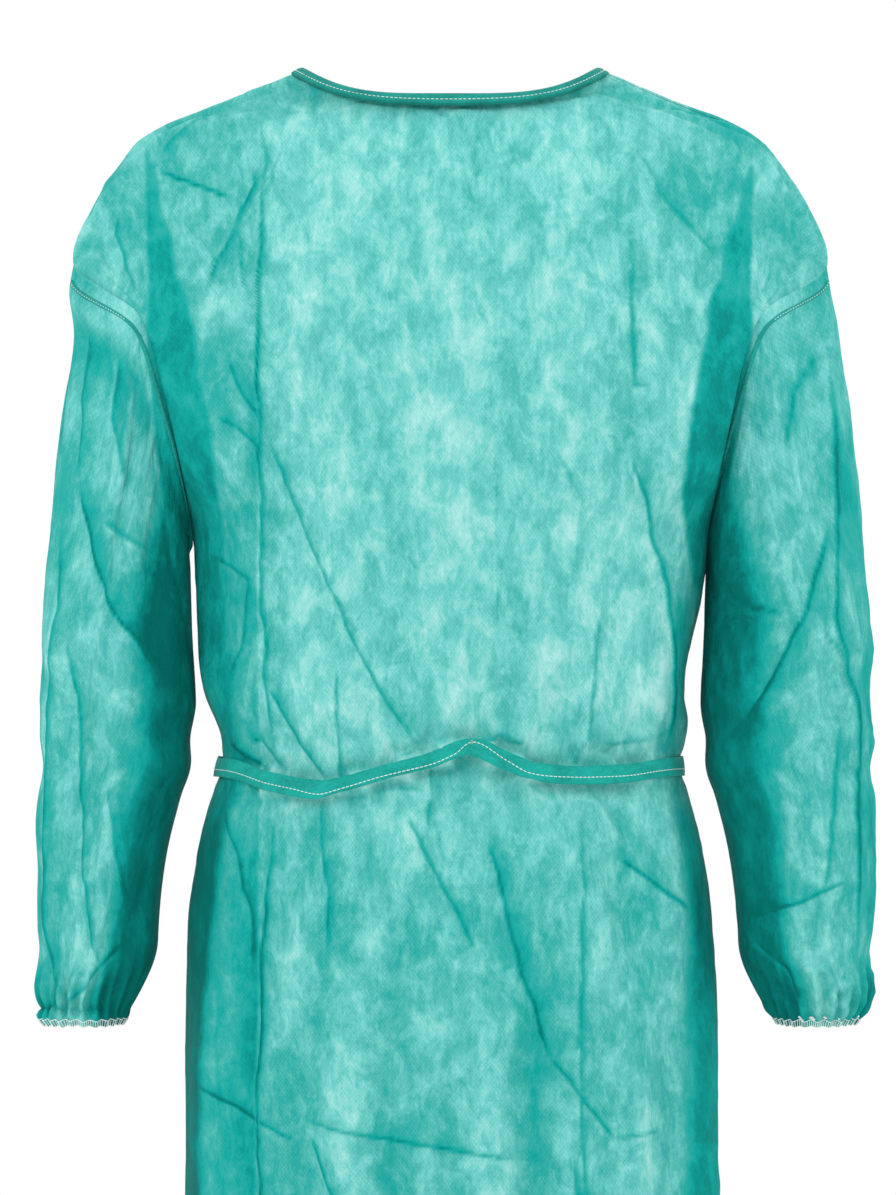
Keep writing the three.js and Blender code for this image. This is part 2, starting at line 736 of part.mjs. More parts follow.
// Overlocked armhole seam, inside the sleeve's top edge.
const ARMHOLE_SEAM_GAP = 0.007 * SHOULDER_HALF_WIDTH;
function armholeSeam(side) {
  return strip((share, along, out) => {
    const q = turnOf(share);
    const depth = (SLEEVE_START + SEAM_GAP + along) / upperLength(side, q);
    return sleevePoint(upperPoint, side, q, depth, out - ARMHOLE_SEAM_GAP);
  }, 2 * SLEEVE_COLUMNS, rectangle(0, SEAM_WIDTH, SEAM_OUT - SEAM_BEAD, SEAM_OUT), true);
}

// Long seam of the sleeve, inside it on the side next to the body. It starts where the fold at
// the underarm has opened enough to hold it.
const UPPER_SEAM_START = 0.3;
function sleeveSeam(surface, side, from, to, stations) {
  return strip((share, across, out) => {
    const point = sleevePoint(surface, side, 0.5, lerp(from, to, share), out - CURVE_GAP);
    point.y += across;
    return point;
  }, stations, rectangle(-SEAM_WIDTH / 2, SEAM_WIDTH / 2, SEAM_OUT - SEAM_BEAD, SEAM_OUT));
}

// A ring round the cuff between two distances from its edge.
function cuffRing(side, from, to, out0, out1) {
  return strip((turn, along, out) => {
    const share = 1 - along / FOREARM_LENGTH;
    return sleevePoint(forearmPoint, side, turnOf(turn), Math.min(1, share), out);
  }, 36, rectangle(from, to, out0, out1), true);
}

// White overlock thread that wraps the cuff's raw edge, just below it.
function cuffOverlock(side) {
  return strip((turn, along, out) => {
    const point = sleevePoint(forearmPoint, side, turnOf(turn), 1, out);
    point.z -= 0.4 + along;
    return point;
  }, 36, rectangle(0, OVERLOCK_HEIGHT, -CLOTH - 1.2, 0.6), true);
}

// ---------------------------------------------------------------- the gown

const gown = new THREE.Group();
gown.name = "patient_gown";

function add(name, geometry, color) {
  const mesh = new THREE.Mesh(geometry, fabric(color));
  mesh.name = name;
  gown.add(mesh);
}

add("front_panel", frontPanel(), GOWN_TEAL);
add("neck_binding", neckBinding(), TRIM_TEAL);
add("neck_binding_stitch", neckStitch(), THREAD_WHITE);
add("waist_tie", waistTie(), TRIM_TEAL);
add("waist_tie_stitch", waistStitch(), THREAD_WHITE);
add("waist_tie_tack", waistTack(), THREAD_WHITE);
add("neck_knot", knot(NECK_BOW), TRIM_TEAL);
add("waist_knot", knot(WAIST_BOW), TRIM_TEAL);

for (const [hand, side] of [["left", 1], ["right", -1]]) {
  add(`back_panel_${hand}`, backPanel(side), GOWN_TEAL);
  add(`shoulder_seam_${hand}`, bodySeam(side, 0.3, SHOULDER_END - 0.6, 14), TRIM_TEAL);
  add(`side_seam_${hand}`, bodySeam(side, UNDERARM + 0.5, HEM, ROWS - 2 * UNDERARM - 1), TRIM_TEAL);
  add(`sleeve_upper_${hand}`, upperSleeve(side), GOWN_TEAL);
  add(`sleeve_lower_${hand}`, lowerSleeve(side), GOWN_TEAL);
  add(`armhole_seam_${hand}`, armholeSeam(side), TRIM_TEAL);
  add(`sleeve_seam_upper_${hand}`, sleeveSeam(upperPoint, side, UPPER_SEAM_START, 0.97, 4),
    TRIM_TEAL);
  const above = 1 - (ELASTIC_WIDTH + 5) / FOREARM_LENGTH;
  add(`sleeve_seam_lower_${hand}`, sleeveSeam(forearmPoint, side, 0.01, above, 20), TRIM_TEAL);
  const inside = -CLOTH - LAYER_GAP;
  add(`cuff_elastic_${hand}`, cuffRing(side, 2, 2 + ELASTIC_WIDTH, inside - ELASTIC_WALL, inside),
    ELASTIC_WHITE);
  add(`cuff_overlock_${hand}`, cuffOverlock(side), THREAD_WHITE);
  add(`neck_bow_loop_${hand}`, bowLoop(NECK_BOW, side), TRIM_TEAL);
  add(`neck_tie_tail_${hand}`, tail(NECK_BOW, side), TRIM_TEAL);
  add(`waist_bow_loop_${hand}`, bowLoop(WAIST_BOW, side), TRIM_TEAL);
  add(`waist_tie_tail_${hand}`, tail(WAIST_BOW, side), TRIM_TEAL);
}

export default gown;
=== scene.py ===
"""Looks of a disposable isolation gown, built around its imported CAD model.

The cloth is the same surface as the CAD panels and sleeves. It starts with pleats and folds, is
draped by a cloth simulation over a hidden body, and then gets its creases. Every trim follows it.

Sizes are millimetres and become metres where a mesh is made. +Z is up, +X is the wearer's left,
the front faces -Y, and the origin is midway between the neck's two shoulder points.
"""

import math

import bmesh
import bpy
import numpy as np
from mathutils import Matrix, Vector


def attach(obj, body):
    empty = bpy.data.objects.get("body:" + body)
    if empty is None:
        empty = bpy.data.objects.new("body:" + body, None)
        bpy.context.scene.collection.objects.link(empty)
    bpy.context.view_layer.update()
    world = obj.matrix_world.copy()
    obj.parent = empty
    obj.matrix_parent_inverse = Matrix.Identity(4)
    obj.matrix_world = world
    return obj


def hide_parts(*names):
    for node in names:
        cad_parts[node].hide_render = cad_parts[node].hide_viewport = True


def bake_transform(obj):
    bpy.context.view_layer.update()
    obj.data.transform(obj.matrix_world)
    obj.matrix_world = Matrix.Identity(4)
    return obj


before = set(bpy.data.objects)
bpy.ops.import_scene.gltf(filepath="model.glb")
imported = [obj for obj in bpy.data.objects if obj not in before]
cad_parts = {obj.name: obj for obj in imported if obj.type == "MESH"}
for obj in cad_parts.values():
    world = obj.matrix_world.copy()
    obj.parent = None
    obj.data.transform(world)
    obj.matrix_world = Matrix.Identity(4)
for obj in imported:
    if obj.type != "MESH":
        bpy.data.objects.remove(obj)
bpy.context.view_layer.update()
scene = bpy.context.scene
MM = 0.001
SIDES = ((1, "left"), (-1, "right"))

# ---- The gown's cut, as in the CAD model
CLOTH = 1.6
LAYER_GAP = 0.6
NECK_HALF_WIDTH = 107
NECK_DEPTH = (62, 58)             # front, back
NECK_SCOOP = (27, 14)
NECK_SQUARENESS = 3.5
BINDING_WIDTH = 9
BINDING_WALL = 0.7
BINDING_END_GAP = 7
SHOULDER_HALF_WIDTH = 274
SHOULDER_DROP = 142
ARMHOLE_DROP = 200
ARMHOLE_DEPTH = 58
UNDERARM_HALF_WIDTH = 187
WAIST_HALF_WIDTH = 166
SKIRT_HALF_WIDTH = 191
CHEST_DEPTH = (124, 113)
WAIST_DEPTH = (104, 94)
SKIRT_DEPTH = (128, 122)
WAIST_BELOW_UNDERARM = 161
SKIRT_LENGTH = 647
BACK_OVERLAP = 95
ELBOW_BELOW_UNDERARM = 68
FOREARM_LENGTH = 282
SLEEVE_WIDTH = 122
SLEEVE_DEPTH = 118
CUFF_WIDTH = 56
CUFF_DEPTH = 52
FOREARM_LEAN = 22
ARMPIT_GAP = 5
TIE_WIDTH = 13.5
TIE_WALL = 1.4
TIE_LIFT = 1.7
TACK_X = 14
WAIST_KNOT = 15
NECK_KNOT = 11
CENTRE_SAG = 10
BACK_TIE_DROP = -4                # height of the tie at the back, from the waist line

FRONT, BACK = 0, 1
UNDERARM_Z = -(SHOULDER_DROP + ARMHOLE_DROP)
WAIST_Z = UNDERARM_Z - WAIST_BELOW_UNDERARM
HEM_Z = WAIST_Z - SKIRT_LENGTH
ELBOW_Z = UNDERARM_Z - ELBOW_BELOW_UNDERARM
CUFF_Z = ELBOW_Z - FOREARM_LENGTH


# ---------------------------------------------------------------- curves and noise

def lerp(a, b, t):
    return a + (b - a) * t


def smooth(t):
    s = np.clip(t, 0, 1)
    return s * s * (3 - 2 * s)


def bell(t):
    """1 at 0, falling to almost 0 at 2."""
    return np.exp(-np.square(t))


def through(stations):
    """Smooth curve through (t, value) stations that never overshoots them."""
    t, v = (np.array(column, float) for column in zip(*stations))
    span = np.diff(t)
    slope = np.diff(v) / span
    tangent = np.concatenate([slope[:1], np.zeros(len(t) - 2), slope[-1:]])
    before, after = slope[:-1], slope[1:]
    turning = before * after <= 0
    tangent[1:-1] = np.where(turning, 0, 2 * before * after / np.where(turning, 1, before + after))

    def at(x):
        i = np.clip(np.searchsorted(t, x, side="left") - 1, 0, len(span) - 1)
        s = (x - t[i]) / span[i]
        return (v[i] + (v[i + 1] - v[i]) * s * s * (3 - 2 * s)
                + span[i] * tangent[i] * s * (1 - s) ** 2
                - span[i] * tangent[i + 1] * s * s * (1 - s))
    return at


def noise(x, z, size, seed):
    """Smooth noise from -1 to 1 whose patches are about as wide as size."""
    cells = 64
    table = np.random.default_rng(seed).uniform(-1, 1, (cells, cells))
    x, z = np.broadcast_arrays(x / size, z / size)
    i, j = np.floor(x).astype(int), np.floor(z).astype(int)
    s, t = smooth(x - i), smooth(z - j)
    near = lerp(table[i % cells, j % cells], table[(i + 1) % cells, j % cells], s)
    far = lerp(table[i % cells, (j + 1) % cells], table[(i + 1) % cells, (j + 1) % cells], s)
    return lerp(near, far, t)


# ---------------------------------------------------------------- the gown's base surface

SHOULDER_CURVE = [
    # share of the way across, share of the drop, share of the drop at the centre front
    (0, 0, 0), (0.35, 0.18, 0.18), (0.56, 0.275, 0.3), (0.72, 0.38, 0.42), (0.79, 0.48, 0.55),
    (0.9, 0.68, 0.76), (1, 1, 1),
]
ARMHOLE_CURVE = [
    # share of the way in, share of the way down, share of the depth
    (0.61, 0.225, 1), (0.79, 0.49, 0.9), (0.92, 0.75, 0.62), (1, 1, 0),
]
SIDE_CURVE = [
    # height, half width
    (lerp(UNDERARM_Z, WAIST_Z, 0.36), lerp(UNDERARM_HALF_WIDTH, WAIST_HALF_WIDTH, 0.29)),
    (lerp(UNDERARM_Z, WAIST_Z, 0.73), lerp(UNDERARM_HALF_WIDTH, WAIST_HALF_WIDTH, 0.67)),
    (WAIST_Z, WAIST_HALF_WIDTH),
    (WAIST_Z - 29, lerp(WAIST_HALF_WIDTH, SKIRT_HALF_WIDTH, 0.32)),
    (WAIST_Z - 73, lerp(WAIST_HALF_WIDTH, SKIRT_HALF_WIDTH, 0.72)),
    (WAIST_Z - 131, lerp(WAIST_HALF_WIDTH, SKIRT_HALF_WIDTH, 0.96)),
    (WAIST_Z - 200, SKIRT_HALF_WIDTH),
    (HEM_Z, SKIRT_HALF_WIDTH),
]
SHOULDER_END = len(SHOULDER_CURVE) - 1
UNDERARM = SHOULDER_END + len(ARMHOLE_CURVE)
HEM = UNDERARM + len(SIDE_CURVE)

# Each level as x, z and depth of its side border.
LEVELS = [(lerp(NECK_HALF_WIDTH, SHOULDER_HALF_WIDTH, across), -SHOULDER_DROP * down, 0)
          for across, down, _ in SHOULDER_CURVE]
LEVELS += [(lerp(SHOULDER_HALF_WIDTH, UNDERARM_HALF_WIDTH, inward),
            -SHOULDER_DROP - ARMHOLE_DROP * down, ARMHOLE_DEPTH * depth)
           for inward, down, depth in ARMHOLE_CURVE]
LEVELS += [(x, z, 0) for z, x in SIDE_CURVE]
edge_x, edge_z, edge_depth = (through([(i, level[k]) for i, level in enumerate(LEVELS)])
                              for k in range(3))


def centre_height(scoop):
    heights = [lerp(-scoop, -SHOULDER_DROP - CENTRE_SAG, centre) for _, _, centre in SHOULDER_CURVE]
    heights += [z for _, z, _ in LEVELS[SHOULDER_END + 1:]]
    heights[SHOULDER_END + 1] -= CENTRE_SAG / 2
    return through(list(enumerate(heights)))


centre_z = [centre_height(scoop) for scoop in NECK_SCOOP]
squareness = through([(0, NECK_SQUARENESS), (2, 2.4), (SHOULDER_END, 2), (HEM, 2)])


def depth_curve(face):
    neck, chest, waist, skirt = (d[face] for d in (NECK_DEPTH, CHEST_DEPTH, WAIST_DEPTH, SKIRT_DEPTH))
    return through([
        (HEM_Z, skirt),
        (WAIST_Z - 200, lerp(waist, skirt, 0.88)),
        (WAIST_Z - 131, lerp(waist, skirt, 0.7)),
        (WAIST_Z - 73, lerp(waist, skirt, 0.46)),
        (WAIST_Z - 29, lerp(waist, skirt, 0.2)),
        (WAIST_Z, waist),
        (lerp(UNDERARM_Z, WAIST_Z, 0.73), lerp(chest, waist, 0.7)),
        (lerp(UNDERARM_Z, WAIST_Z, 0.36), lerp(chest, waist, 0.3)),
        (UNDERARM_Z + 30, chest),
        (UNDERARM_Z + 90, chest),
        (-SHOULDER_DROP - CENTRE_SAG, lerp(neck, chest, 0.85)),
        (-100, lerp(neck, chest, 0.6)),
        (-60, lerp(neck, chest, 0.34)),
        (-NECK_SCOOP[face], neck),
    ])


body_depth = [depth_curve(FRONT), depth_curve(BACK)]


def base_point(face, u, v):
    """Points of the base surface: u runs from -1 (wearer's right) to 1, v is the level."""
    u, v = np.broadcast_arrays(np.asarray(u, float), np.asarray(v, float))
    s, c = np.sin(u * np.pi / 2), np.cos(u * np.pi / 2)
    border = edge_depth(v)
    depth = border + (body_depth[face](centre_z[face](v)) - border) * c
    sag = 1 - np.abs(s) ** squareness(v)
    return np.stack([edge_x(v) * s, depth if face == BACK else -depth,
                     lerp(edge_z(v), centre_z[face](v), sag)], -1)


def unit(vectors):
    return vectors / np.maximum(np.linalg.norm(vectors, axis=-1, keepdims=True), 1e-12)


def body_normal(face, u, v):
    step = 1e-3
    along_u = base_point(face, u + step, v) - base_point(face, u - step, v)
    along_v = (base_point(face, u, np.minimum(HEM, v + step))
               - base_point(face, u, np.maximum(0, v - step)))
    normal = unit(np.cross(along_v, along_u))
    return -normal if face == BACK else normal


def body_point(face, u, v, out):
    u, v = np.broadcast_arrays(np.asarray(u, float), np.asarray(v, float))
    return base_point(face, u, v) + body_normal(face, u, v) * np.asarray(out)[..., None]


def level_length(face, u, v):
    """Millimetres per level, walking away from the neck edge."""
    return np.linalg.norm(base_point(face, u, v + 0.02) - base_point(face, u, v), axis=-1) / 0.02


def level_at(z):
    """Level that lies at a height, below the underarm."""
    levels = np.linspace(UNDERARM, HEM, 4001)
    return np.interp(-np.asarray(z, float), -edge_z(levels), levels)


# Sleeve below the elbow line, by share of its length.
forearm_gap = through([(0, ARMPIT_GAP), (0.18, ARMPIT_GAP + 4), (0.3, ARMPIT_GAP + 14),
                       (0.59, ARMPIT_GAP + 14), (0.79, ARMPIT_GAP + 13), (1, ARMPIT_GAP + 39)])
forearm_width = through([(0, SLEEVE_WIDTH * 0.98), (0.18, SLEEVE_WIDTH), (0.28, SLEEVE_WIDTH * 0.97),
                         (0.43, SLEEVE_WIDTH * 0.915), (0.59, SLEEVE_WIDTH * 0.835),
                         (0.79, SLEEVE_WIDTH * 0.77), (0.9, SLEEVE_WIDTH * 0.69),
                         (0.96, lerp(CUFF_WIDTH, SLEEVE_WIDTH * 0.69, 0.45)), (1, CUFF_WIDTH)])
forearm_depth = through([(0, SLEEVE_DEPTH), (0.6, SLEEVE_DEPTH * 0.88), (0.85, SLEEVE_DEPTH * 0.82),
                         (0.93, SLEEVE_DEPTH * 0.7), (1, CUFF_DEPTH)])


def forearm_point(side, q, share):
    """Ring of the sleeve: q turns from the outer side (0) over the front to the body side (0.5)."""
    z = lerp(ELBOW_Z, CUFF_Z, share)
    width = forearm_width(share)
    centre = edge_x(level_at(z)) + forearm_gap(share) + width / 2
    angle = q * 2 * np.pi
    return np.stack([side * (centre + np.cos(angle) * width / 2),
                     -FOREARM_LEAN * share ** 1.5 - np.sin(angle) * forearm_depth(share) / 2,
                     z + 0 * angle], -1)


def armhole_point(side, q):
    """Armhole edge at q: down the front border to the underarm and up the back border."""
    turn = np.mod(q, 1)
    v = lerp(SHOULDER_END, UNDERARM, 1 - np.abs(1 - 2 * turn))
    front = (turn <= 0.5)[..., None]
    return np.where(front, base_point(FRONT, side, v), base_point(BACK, side, v))


def upper_point(side, q, share):
    """The upper sleeve runs from the armhole edge to the elbow ring."""
    point = lerp(armhole_point(side, q), forearm_point(side, q, np.zeros_like(q)), share[..., None])
    angle = q * 2 * np.pi
    swell = 3 * np.sin(np.pi * share) * (1 + np.cos(angle)) / 2
    return point + np.stack([side * np.cos(angle) * swell, -np.sin(angle) * swell, 0 * angle], -1)


# ---------------------------------------------------------------- camera

CAMERA_DISTANCE = 3.2
VIEW_WIDTH = 0.650
VIEW_CENTRE = (-0.0015, 0, -0.385)
CAMERA_HEIGHT = -0.50             # about the middle of the whole gown

camera = bpy.data.objects.new("camera", bpy.data.cameras.new("camera"))
camera.data.sensor_fit = "HORIZONTAL"
camera.data.sensor_width = 36
camera.data.lens = camera.data.sensor_width * CAMERA_DISTANCE / VIEW_WIDTH
camera.location = (VIEW_CENTRE[0], -CAMERA_DISTANCE, CAMERA_HEIGHT)
camera.rotation_euler = (Vector(VIEW_CENTRE) - camera.location).to_track_quat("-Z", "Y").to_euler()
scene.collection.objects.link(camera)
scene.camera = camera


# ---------------------------------------------------------------- meshes

def grid_faces(rows, columns, offset=0):
    """Quads of a grid with that many points each way."""
    i, j = np.meshgrid(np.arange(rows - 1), np.arange(columns - 1), indexing="ij")
    a = (i * columns + j).ravel() + offset
    return np.stack([a, a + 1, a + columns + 1, a + columns], 1)


def make_piece(name, points, faces):
    """A mesh object from points in millimetres."""
    mesh = bpy.data.meshes.new(name)
    mesh.from_pydata((np.asarray(points, float).reshape(-1, 3) * MM).tolist(), [],
                     faces if isinstance(faces, list) else faces.tolist())
    mesh.validate()
    mesh.shade_smooth()
    piece = bpy.data.objects.new(name, mesh)
    scene.collection.objects.link(piece)
    return piece


def write_attribute(piece, name, values):
    attribute = piece.data.attributes.new(name, "FLOAT", "POINT")
    attribute.data.foreach_set("value", np.asarray(values, np.float32).ravel())


def write_uv(piece, uv):
    """One cloth coordinate in metres for each point."""
    layer = piece.data.uv_layers.new(name="cloth")
    corner = np.zeros(len(piece.data.loops), np.int32)
    piece.data.loops.foreach_get("vertex_index", corner)
    layer.data.foreach_set("uv", np.asarray(uv, np.float32).reshape(-1, 2)[corner].ravel())


def grid_normals(grid):
    """Normals of a grid of points, pointing to the left of its rows seen along its columns."""
    return unit(np.cross(np.gradient(grid, axis=1), np.gradient(grid, axis=0)))


def halved(grid, axis):
    """The grid with a point added between each two, on the smooth curve through them."""
    g = np.moveaxis(grid, axis, 0)
    before = np.concatenate([2 * g[:1] - g[1:2], g[:-2]])
    after = np.concatenate([g[2:], 2 * g[-1:] - g[-2:-1]])
    middle = (9 * (g[:-1] + g[1:]) - before - after) / 16
    out = np.empty((2 * len(g) - 1,) + g.shape[1:])
    out[::2] = g
    out[1::2] = middle
    return np.moveaxis(out, 0, axis)


def refined(grid):
    """The grid with four times the points each way."""
    for _ in range(2):
        grid = halved(halved(grid, 0), 1)
    return grid


def run_length(line):
    """How far each point of a line is from its start, along the line."""
    return np.concatenate([[0], np.cumsum(np.linalg.norm(np.diff(line, axis=0), axis=1))])


def read_along(values, along, places):
    """Values that belong to a line's points, read at distances along it."""
    return np.stack([np.interp(places, along, values[:, k]) for k in range(3)], -1)


def bead_rings(line, side_way, out_way, width, height, corners=8):
    """Round sections along a line. Their width and height are one size, or one for each point."""
    half_width, half_height = (np.broadcast_to(size, len(line))[:, None] / 2 for size in (width, height))
    return np.stack([line + side_way * math.cos(a) * half_width + out_way * math.sin(a) * half_height
                     for a in np.arange(corners) / corners * 2 * np.pi], 1)


def strip_mesh(rings, closed=False):
    """Points and faces of a tube through rings of points: an array of stations by corners."""
    stations, corners = rings.shape[:2]
    faces = []
    for k in range(stations if closed else stations - 1):
        n = (k + 1) % stations
        for c in range(corners):
            d = (c + 1) % corners
            faces.append((k * corners + c, k * corners + d, n * corners + d, n * corners + c))
    if not closed:
        faces.append(tuple(range(corners))[::-1])
        faces.append(tuple(range((stations - 1) * corners, stations * corners)))
    return rings.reshape(-1, 3), faces


def tube_piece(name, rings, across, along, closed=False):
    """A tube through rings of points. Its cloth coordinates run across it and along it."""
    piece = make_piece(name, *strip_mesh(rings, closed))
    write_uv(piece, np.stack(np.broadcast_arrays(across, along[:, None]), -1) * MM)
    return piece


def ribbon_piece(name, line, wide, thick, width, wall, crown=0.25):
    """A tape along a line: wide and thick are its unit directions, width may change along it."""
    outline = [(-0.5, -0.3), (-0.46, -0.5), (0, -0.5), (0.46, -0.5), (0.5, -0.3), (0.5, 0.3),
               (0.46, 0.5), (0.2, 0.5 + crown), (-0.2, 0.5 + crown), (-0.46, 0.5), (-0.5, 0.3)]
    width = np.broadcast_to(width, len(line))[:, None]
    rings = np.stack([line + wide * (a * width) + thick * (b * wall) for a, b in outline], 1)
    return tube_piece(name, rings, width * [a for a, _ in outline], run_length(line))


def joined_piece(name, parts):
    """One piece from many sets of points and faces."""
    points, faces, start = [], [], 0
    for more, quads in parts:
        faces += [tuple(i + start for i in quad) for quad in quads]
        points.append(more)
        start += len(more)
    points = np.concatenate(points)
    piece = make_piece(name, points, faces)
    write_uv(piece, points[:, [0, 2]] * MM)
    return piece


def stitches_piece(name, line, side_way, out_way, length, gap, width, height):
    """A row of separate thread stitches along a line, each a small rounded bead."""
    along = run_length(line)
    shares = np.array([0, 0.15, 0.5, 0.85, 1])
    fat = np.array([0.35, 0.85, 1, 0.85, 0.35])
    beads = []
    for start in np.arange(gap / 2, along[-1] - length, length + gap):
        middle, across, up = (read_along(values, along, start + shares * length)
                              for values in (line, side_way, out_way))
        beads.append(strip_mesh(bead_rings(middle, unit(across), unit(up), width * fat, height * fat, 6)))
    return joined_piece(name, beads)


# ---------------------------------------------------------------- folds before the simulation

# Gathers fan out of the waist tie: x at the tie, lean in mm per mm of height, height of the fold.
WAIST_GATHERS = [(-150, 0.10, 2.5), (-123, -0.12, 4.0), (-94, -0.30, 3.0), (-52, 0.08, 2.0),
                 (-13, 0.28, 3.5), (22, -0.30, 2.5), (58, 0.10, 2.0), (80, -0.16, 3.5),
                 (102, -0.02, 4.0), (140, 0.12, 2.5)]


def body_folds(face, x, z):
    """How far the cloth of the trunk stands off its base surface before it is draped."""
    turn = 1 if face == FRONT else -1
    above = z > WAIST_Z
    reach = np.where(above, 95, 130)
    near_tie = np.exp(-np.abs(z - WAIST_Z) / reach) * smooth(np.abs(z - WAIST_Z) / 14)
    out = np.zeros_like(x)
    for place, lean, height in WAIST_GATHERS:
        middle = place * turn + lean * (z - WAIST_Z)
        width = 6 + 0.05 * np.abs(z - WAIST_Z)
        out += height * near_tie * bell((x - middle) / width)
    skirt = smooth((WAIST_Z - 30 - z) / 260)
    wander = 16 * noise(x * 0.2, z, 190, 11 + face)
    out += skirt * 5 * np.sin((x + wander) / 92 * 2 * np.pi + 1.1 + face)
    out += skirt * 3 * np.sin((x - wander) / 51 * 2 * np.pi + 2.3)
    chest = smooth((z - WAIST_Z) / 60) * smooth((-40 - z) / 80)
    out += chest * 3.5 * noise(x, z * 0.45, 60, 21 + face)
    blouse = bell((z - WAIST_Z - 45) / 30)
    return out + blouse * (3 + 3 * noise(x, z, 46, 31 + face))


def sleeve_folds(side, q, z):
    """The same for a sleeve: slack lengthwise folds, and a balloon above the gathered cuff."""
    turn = np.mod(q, 1) * 2 * np.pi
    down = smooth((-200 - z) / 220)
    seed = 40 if side > 0 else 50
    wave = np.sin(5 * turn + 1.6 * noise(turn * 30, z, 90, seed) + side)
    cross = noise(turn * 60 + 0.5 * z, z, 42, seed + 1)
    elbow = bell((z + 440) / 70)
    return down * (2.6 * wave + 2.2 * cross) + elbow * 2.0 * noise(turn * 30, z + 22 * turn, 26, seed + 2)


# ---------------------------------------------------------------- grids of cloth

BODY_COLUMNS = 72
SLEEVE_RING = 64
ROW_STEP = 10


def rows_between(count, spacing):
    """Levels from 0 to count with whole numbers among them, spaced by a length per level."""
    rows = [0.0]
    for i in range(count):
        parts = max(1, round(spacing(i) / ROW_STEP))
        rows += [i + (k + 1) / parts for k in range(parts)]
    return np.array(rows)


def longest_step(i):
    ends = np.array([i, i + 1])
    steps = [np.linalg.norm(np.diff(base_point(face, u, ends), axis=0)) for face in (FRONT, BACK)
             for u in (0, 0.6, 1)]
    return np.mean(steps)


body_levels = rows_between(HEM, longest_step)
body_u = np.linspace(-1, 1, BODY_COLUMNS + 1)
open_row = (body_levels > SHOULDER_END) & (body_levels < UNDERARM)


# How far the cloth of each side puffs out above the tie: heights and distances.
PUFF_END_Z = -540
SIDE_PUFF = {-1: through([(PUFF_END_Z, 0), (-503, -1), (-480, -3), (-468, 0), (-452, 5), (-438, 6),
                          (-400, 3.2), (-360, 0.4), (UNDERARM_Z, 0)]),
             1: through([(PUFF_END_Z, 0), (-503, 0), (-490, 3), (-478, 3), (-462, -4), (-445, -7),
                         (-410, -4), (-385, 0), (-360, 0.4), (UNDERARM_Z, 0)])}


def folded_body(face):
    u, v = body_u[None, :], body_levels[:, None]
    base = base_point(face, u, v)
    hold = smooth((1 - np.abs(u)) * 7) * smooth(v / 1.2)
    out = body_folds(face, base[..., 0], base[..., 2]) * hold
    height = np.clip(base[..., 2], PUFF_END_Z, UNDERARM_Z)
    puff = np.where(u > 0, SIDE_PUFF[1](height), -SIDE_PUFF[-1](height)) * smooth(np.abs(u) * 3 - 2)
    sideways = np.stack([puff, 0 * puff, 0 * puff], -1)
    return base + body_normal(face, u, v) * out[..., None] + sideways


def welded(ids, points):
    """The points that ids names, the quads between them, and ids with new numbers."""
    used = np.unique(ids)
    number = np.zeros(ids.size, int)
    number[used] = np.arange(len(used))
    ids = number[ids]
    corners = [ids[..., :-1, :-1], ids[..., :-1, 1:], ids[..., 1:, 1:], ids[..., 1:, :-1]]
    return points.reshape(-1, 3)[used], np.stack(corners, -1).reshape(-1, 4), ids


def body_mesh(grids):
    """Front and back as one mesh, joined along the shoulders and the side seams."""
    grids = np.array(grids)
    ids = np.arange(grids[..., 0].size).reshape(grids.shape[:3])
    for column in (0, -1):
        ids[BACK, ~open_row, column] = ids[FRONT, ~open_row, column]
    return welded(ids, grids)


def sleeve_mesh(grid):
    """A sleeve's grid as one mesh, joined along the sleeve's seam."""
    ids = np.arange(grid[..., 0].size).reshape(grid.shape[:2])
    ids[:, -1] = ids[:, 0]
    return welded(ids, grid)


FOREARM_ROWS = 40
UPPER_ROWS = 12
upper_shares = np.linspace(0, 1, UPPER_ROWS + 1)
forearm_shares = (np.arange(FOREARM_ROWS + 1) / FOREARM_ROWS) ** 0.8
sleeve_q = np.linspace(0.5, 1.5, SLEEVE_RING + 1)


def sleeve_grid(side):
    """Upper sleeve and forearm in one grid whose columns start and end at the sleeve's seam."""
    q = sleeve_q
    upper = [upper_point(side, q, np.full_like(q, share)) for share in upper_shares[:-1]]
    lower = [forearm_point(side, q, np.full_like(q, share)) for share in forearm_shares]
    return np.array(upper + lower)


def outward(grid, side):
    """Normals of a sleeve grid, pointing out of the sleeve."""
    normals = grid_normals(grid)
    middle = grid.mean(1, keepdims=True)
    return normals * np.sign(((grid - middle) * normals).sum(-1, keepdims=True).mean())


def folded_sleeve(side):
    base = sleeve_grid(side)
    rows = len(base)
    hold = smooth(np.arange(rows) / 5)[:, None] * smooth((rows - 1 - np.arange(rows)) / 6)[:, None]
    facing_body = smooth((np.cos(sleeve_q * 2 * np.pi) + 1.05) / 0.5)[None, :]
    out = sleeve_folds(side, sleeve_q[None, :], base[..., 2]) * hold * facing_body
    return base + outward(base, side) * out[..., None]


# ---------------------------------------------------------------- the drape

DRAPE_FRAMES = 26
BODY_INSET = 4                    # how deep the hidden body lies under the cloth
MOST_MOVE = {"trunk": 12, "beside the arm": 3, "sleeve": 9, "beside the body": 2.5}
CLOTH_SETTINGS = {"quality": 5, "mass": 0.08, "air_damping": 2, "tension_stiffness": 40,
                  "compression_stiffness": 12, "shear_stiffness": 8, "bending_stiffness": 1.0,
                  "vertex_group_mass": "pin"}


